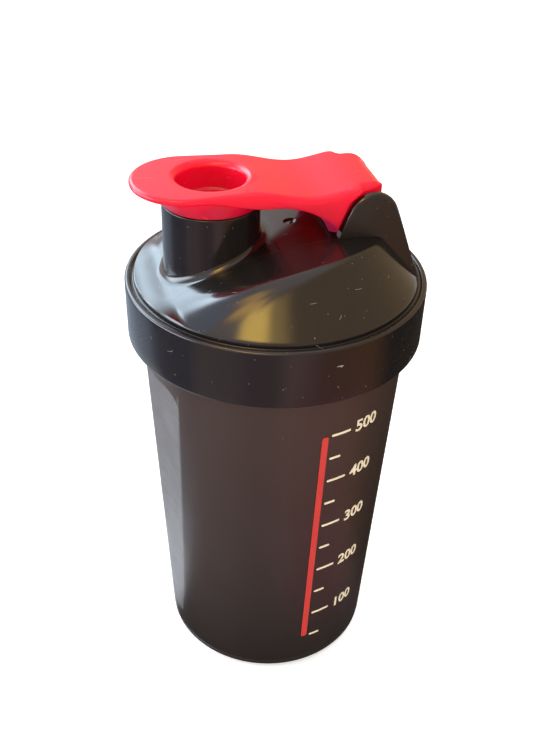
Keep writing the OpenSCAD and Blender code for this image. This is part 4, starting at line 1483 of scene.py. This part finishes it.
class SHAKER_OT_seals(bpy.types.Operator):
    """Give the mixing grid and the lid gasket their materials"""
    bl_idname = "shaker.seals"
    bl_label = "Grid and gasket"

    def execute(self, context):
        materials = {"mixing_grid": moulded_plastic(context), "lid_gasket": silicone(context)}
        for name, material in materials.items():
            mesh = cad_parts[name].data
            mesh.materials.clear()
            mesh.materials.append(material)
        return {"FINISHED"}


# Stage

# Place and target of the camera in millimetres, its roll, and its lens by a picture's height in pixels
CAMERA_PLACE = (-73.45, -274.14, 305.05)
CAMERA_TARGET = (-0.908, 0.243, 106.953)
CAMERA_ROLL = radians(1.617)
PICTURE_H = 756
FOCAL_PIXELS = 1000
SENSOR = 36
NEAREST = 0.01
# Lamps: name, place and target in metres, width and height, watts and colour
LAMPS = (
    ("Window lamp", (-0.75, 0.25, 0.55), (0, 0, 0.1), (0.6, 0.6), 6, (0.93, 0.97, 1.0)),
    ("Ceiling lamp", (0.1, 0.1, 1.0), (0, 0, 0.1), (0.9, 0.9), 7, (1.0, 0.99, 0.97)),
    ("Front lamp", (0.0, -0.9, 0.6), (0, 0, 0.1), (0.5, 0.5), 3, (1.0, 0.93, 0.84)),
    ("Low lamp", (-0.1, -0.9, 0.16), (0, 0, 0.17), (0.6, 0.24), 2.2, (1.0, 0.93, 0.86)),
)
# Sizes in metres of the floor, the tent and the mat, whose panels are seen from the middle given here
FLOOR_SIZE = 30
TENT_R = 1.6
TENT_MIDDLE_Z = 0.15
MAT_HOLE_R = 0.030
MAT_GROWTH = 33
MAT_MIDDLE_Z = 0.1
MAT_Z = 0.0005
FLOOR_GLOW = 0.45
ROOM_LIGHT = 0.45
WHITE = (1, 1, 1, 1)
BLACK = (0, 0, 0, 1)
# Plain tones of the tent and the mat, and their panels, each over the ones before it: colour, then
# turn, rise, width, height and softness in degrees
TENT_TONE = (1.05, 0.92, 0.90)
TENT_PANELS = (
    ((0.70, 0.48, 0.27), -20, 25, 190, 70, 15),
    ((0.95, 1.10, 1.40), 165, 42, 60, 20, 8),
    ((5.2, 6.4, 7.5), 120, 27, 52, 24, 7),
    ((7.5, 8.5, 9.6), 168, 2, 55, 26, 9),
    ((9.0, 10.8, 12.6), 135, 40, 18, 13, 6),
    ((4.2, 2.6, 0.95), -165, 61, 40, 12, 4),
    ((6.0, 3.6, 1.05), -142, 51, 34, 12, 4),
    ((3.0, 2.0, 0.68), -106, 41, 26, 16, 9),
    ((9.0, 5.9, 1.4), -122, 41, 24, 13, 5),
)
MAT_TONE = (0.46, 0.36, 0.38)
# The mat's panels are painted reflected light and shade; the last is a painted contact shade close to the
# foot
MAT_PANELS = (
    ((0.46, 0.54, 0.68), 135, -25, 90, 60, 12),
    ((0.20, 0.20, 0.27), 178, -22, 40, 26, 8),
    ((0.85, 0.92, 1.02), 143, -44, 44, 34, 6),
    ((1.45, 1.55, 1.70), 157, -64, 46, 32, 5),
    ((0.34, 0.22, 0.26), -112, -25, 30, 60, 8),
    ((0.72, 0.44, 0.42), -84, -28, 26, 36, 8),
    ((0.46, 0.20, 0.07), -38, -22, 76, 60, 14),
    ((0.52, 0.17, 0.22), -62, -46, 54, 40, 12),
    ((0.05, 0.04, 0.03), 20, -30, 90, 100, 15),
    ((0.10, 0.08, 0.08), -92, -68, 180, 18, 10),
)


def seen_or_mirrored(tree):
    """1 for what the camera, a reflection or glass sees, and 0 for the light on a surface."""
    path = put(tree, "LightPath")
    mirrored = calc(tree, "MAXIMUM", path.outputs["Is Glossy Ray"], path.outputs["Is Transmission Ray"])
    return calc(tree, "MAXIMUM", path.outputs["Is Camera Ray"], mirrored)


def add_camera(scene):
    """The camera at the photograph's angle."""
    data = bpy.data.cameras.new("Camera")
    camera = bpy.data.objects.new("Camera", data)
    scene.collection.objects.link(camera)
    data.sensor_width = SENSOR
    data.sensor_fit = "AUTO"
    data.lens = FOCAL_PIXELS * SENSOR / PICTURE_H
    data.clip_start = NEAREST
    place = Vector(CAMERA_PLACE) * MM
    look = (Vector(CAMERA_TARGET) * MM - place).to_track_quat("-Z", "Y").to_matrix().to_4x4()
    camera.matrix_world = Matrix.Translation(place) @ look @ Matrix.Rotation(CAMERA_ROLL, 4, "Z")
    scene.camera = camera


def add_lamp(scene, name, place, target, size, watts, rgb):
    """A soft rectangular lamp that faces a target, and that reflections don't see."""
    data = bpy.data.lights.new(name, "AREA")
    data.shape = "RECTANGLE"
    data.size, data.size_y = size
    data.energy = watts
    data.color = rgb
    lamp = bpy.data.objects.new(name, data)
    scene.collection.objects.link(lamp)
    lamp.location = place
    lamp.rotation_euler = (Vector(target) - Vector(place)).to_track_quat("-Z", "Y").to_euler()
    lamp.visible_glossy = False


def add_floor(context):
    """The pale floor, which keeps the bottle's shadow."""
    floor = added("floor", bpy.ops.mesh.primitive_plane_add, size=FLOOR_SIZE)
    material, tree, shader, place = blank("Floor")
    pale = finish_colour(context, "floor")
    feed(tree, shader, {
        "Base Color": two_colours(tree, noise(tree, place, 3), pale, scaled(pale, 0.98)),
        "Roughness": 0.9,
        "Specular IOR Level": 0.1,
        "Emission Color": WHITE,
        "Emission Strength": product(tree, seen_or_mirrored(tree), FLOOR_GLOW),
    })
    floor.data.materials.append(material)


def add_world(scene):
    """White surroundings for the camera and for reflections, and soft light from all round."""
    world = bpy.data.worlds.new("Studio")
    scene.world = world
    world.use_nodes = True
    tree = world.node_tree
    strength = ramp(tree, seen_or_mirrored(tree), ROOM_LIGHT, 1.0)
    feed(tree, tree.nodes["Background"], {"Color": WHITE, "Strength": strength})


def panel_share(tree, place, turn, rise, wide, high, soft):
    """1 on a light panel, seen from the bottle at an angle and a rise, and 0 beside it."""
    turned = put(tree, "Mapping", {"Vector": place, "Rotation": (0, 0, -radians(turn))}).outputs["Vector"]
    x, y, z = split(tree, turned)
    level = calc(tree, "SQRT", add_share(tree, x, x, product(tree, y, y)))
    fades = []
    around, upward = calc(tree, "ARCTAN2", y, x), calc(tree, "ARCTAN2", z, level)
    for side, middle, size in ((around, 0, wide), (upward, rise, high)):
        off = calc(tree, "ABSOLUTE", calc(tree, "SUBTRACT", side, radians(middle)))
        fades.append(put(tree, "MapRange", {
            "Value": off, "From Min": radians(size / 2 - soft), "From Max": radians(size / 2 + soft),
            "To Min": 1.0, "To Max": 0.0}, interpolation_type="SMOOTHSTEP").outputs[0])
    return product(tree, *fades)


def glow(name, tone, panels):
    """A glowing cloth with soft panels, as seen from the bottle."""
    material, tree, shader, place = blank(name)
    for rgb, *where in panels:
        tone = two_colours(tree, panel_share(tree, place, *where), tone, rgb)
    feed(tree, shader, {
        "Emission Color": tone,
        "Emission Strength": 1,
        "Base Color": BLACK,
        "Specular IOR Level": 0,
    })
    return material


def add_tent():
    """A round tent with soft light panels, which only reflections see."""
    tent = added("tent", bpy.ops.mesh.primitive_uv_sphere_add, segments=64, ring_count=32, radius=TENT_R,
                 location=(0, 0, TENT_MIDDLE_Z))
    tent.data.materials.append(glow("Tent", TENT_TONE, TENT_PANELS))
    tent.visible_camera = tent.visible_diffuse = tent.visible_shadow = False


def add_mat():
    """A dark glowing mat around the bottle, which only reflections see, with painted light and shade in its
    panels.
    """
    mat = added("mat", bpy.ops.mesh.primitive_circle_add, vertices=96, radius=MAT_HOLE_R,
                location=(0, 0, MAT_MIDDLE_Z))
    bpy.ops.object.mode_set(mode="EDIT")
    bpy.ops.transform.translate(value=(0, 0, MAT_Z - MAT_MIDDLE_Z))
    bpy.ops.mesh.extrude_edges_indiv()
    bpy.ops.transform.resize(value=(MAT_GROWTH, MAT_GROWTH, 1))
    bpy.ops.object.mode_set(mode="OBJECT")
    mat.data.materials.append(glow("Mat", MAT_TONE, MAT_PANELS))
    mat.visible_camera = mat.visible_diffuse = mat.visible_shadow = False


class SHAKER_OT_stage(bpy.types.Operator):
    """Set the camera, the pale floor, the white surroundings, the soft lamps, the tent and the mat"""
    bl_idname = "shaker.stage"
    bl_label = "Stage"

    def execute(self, context):
        scene = context.scene
        add_camera(scene)
        add_floor(context)
        add_world(scene)
        for lamp in LAMPS:
            add_lamp(scene, *lamp)
        add_tent()
        add_mat()
        scene.view_settings.view_transform = "Standard"
        return {"FINISHED"}


# Panel and registration

class SHAKER_PT_panel(bpy.types.Panel):
    """Lists the bottle's pieces, sizes and colours"""
    bl_idname = "SHAKER_PT_panel"
    bl_label = "Shaker Bottle"
    bl_space_type = "VIEW_3D"
    bl_region_type = "UI"
    bl_category = "Shaker"

    def draw(self, context):
        layout = self.layout
        for operator in OPERATORS:
            layout.operator(operator.bl_idname)
        for holder, group in GROUPS:
            box = layout.box()
            box.label(text=group.__doc__)
            for name in group.__annotations__:
                box.prop(getattr(context.scene, holder), name)


GROUPS = (
    ("shaker_cup", CupSizes), ("shaker_lid", LidSizes), ("shaker_cap", CapSizes),
    ("shaker_finish", Finishes))
OPERATORS = (SHAKER_OT_cup, SHAKER_OT_scale, SHAKER_OT_lid, SHAKER_OT_cap, SHAKER_OT_seals, SHAKER_OT_stage)


def register():
    """Registers the sizes, operators and panel."""
    for name, group in GROUPS:
        bpy.utils.register_class(group)
        setattr(bpy.types.Scene, name, PointerProperty(type=group))
    for operator in OPERATORS:
        bpy.utils.register_class(operator)
    bpy.utils.register_class(SHAKER_PT_panel)


def unregister():
    """Takes out what register put in."""
    bpy.utils.unregister_class(SHAKER_PT_panel)
    for operator in reversed(OPERATORS):
        bpy.utils.unregister_class(operator)
    for name, group in reversed(GROUPS):
        delattr(bpy.types.Scene, name)
        bpy.utils.unregister_class(group)


def main():
    """Makes all pieces and the stage."""
    register()
    bpy.ops.shaker.cup()
    bpy.ops.shaker.scale()
    bpy.ops.shaker.lid()
    bpy.ops.shaker.cap()
    bpy.ops.shaker.seals()
    bpy.ops.shaker.stage()


if __name__ == "__main__":
    main()
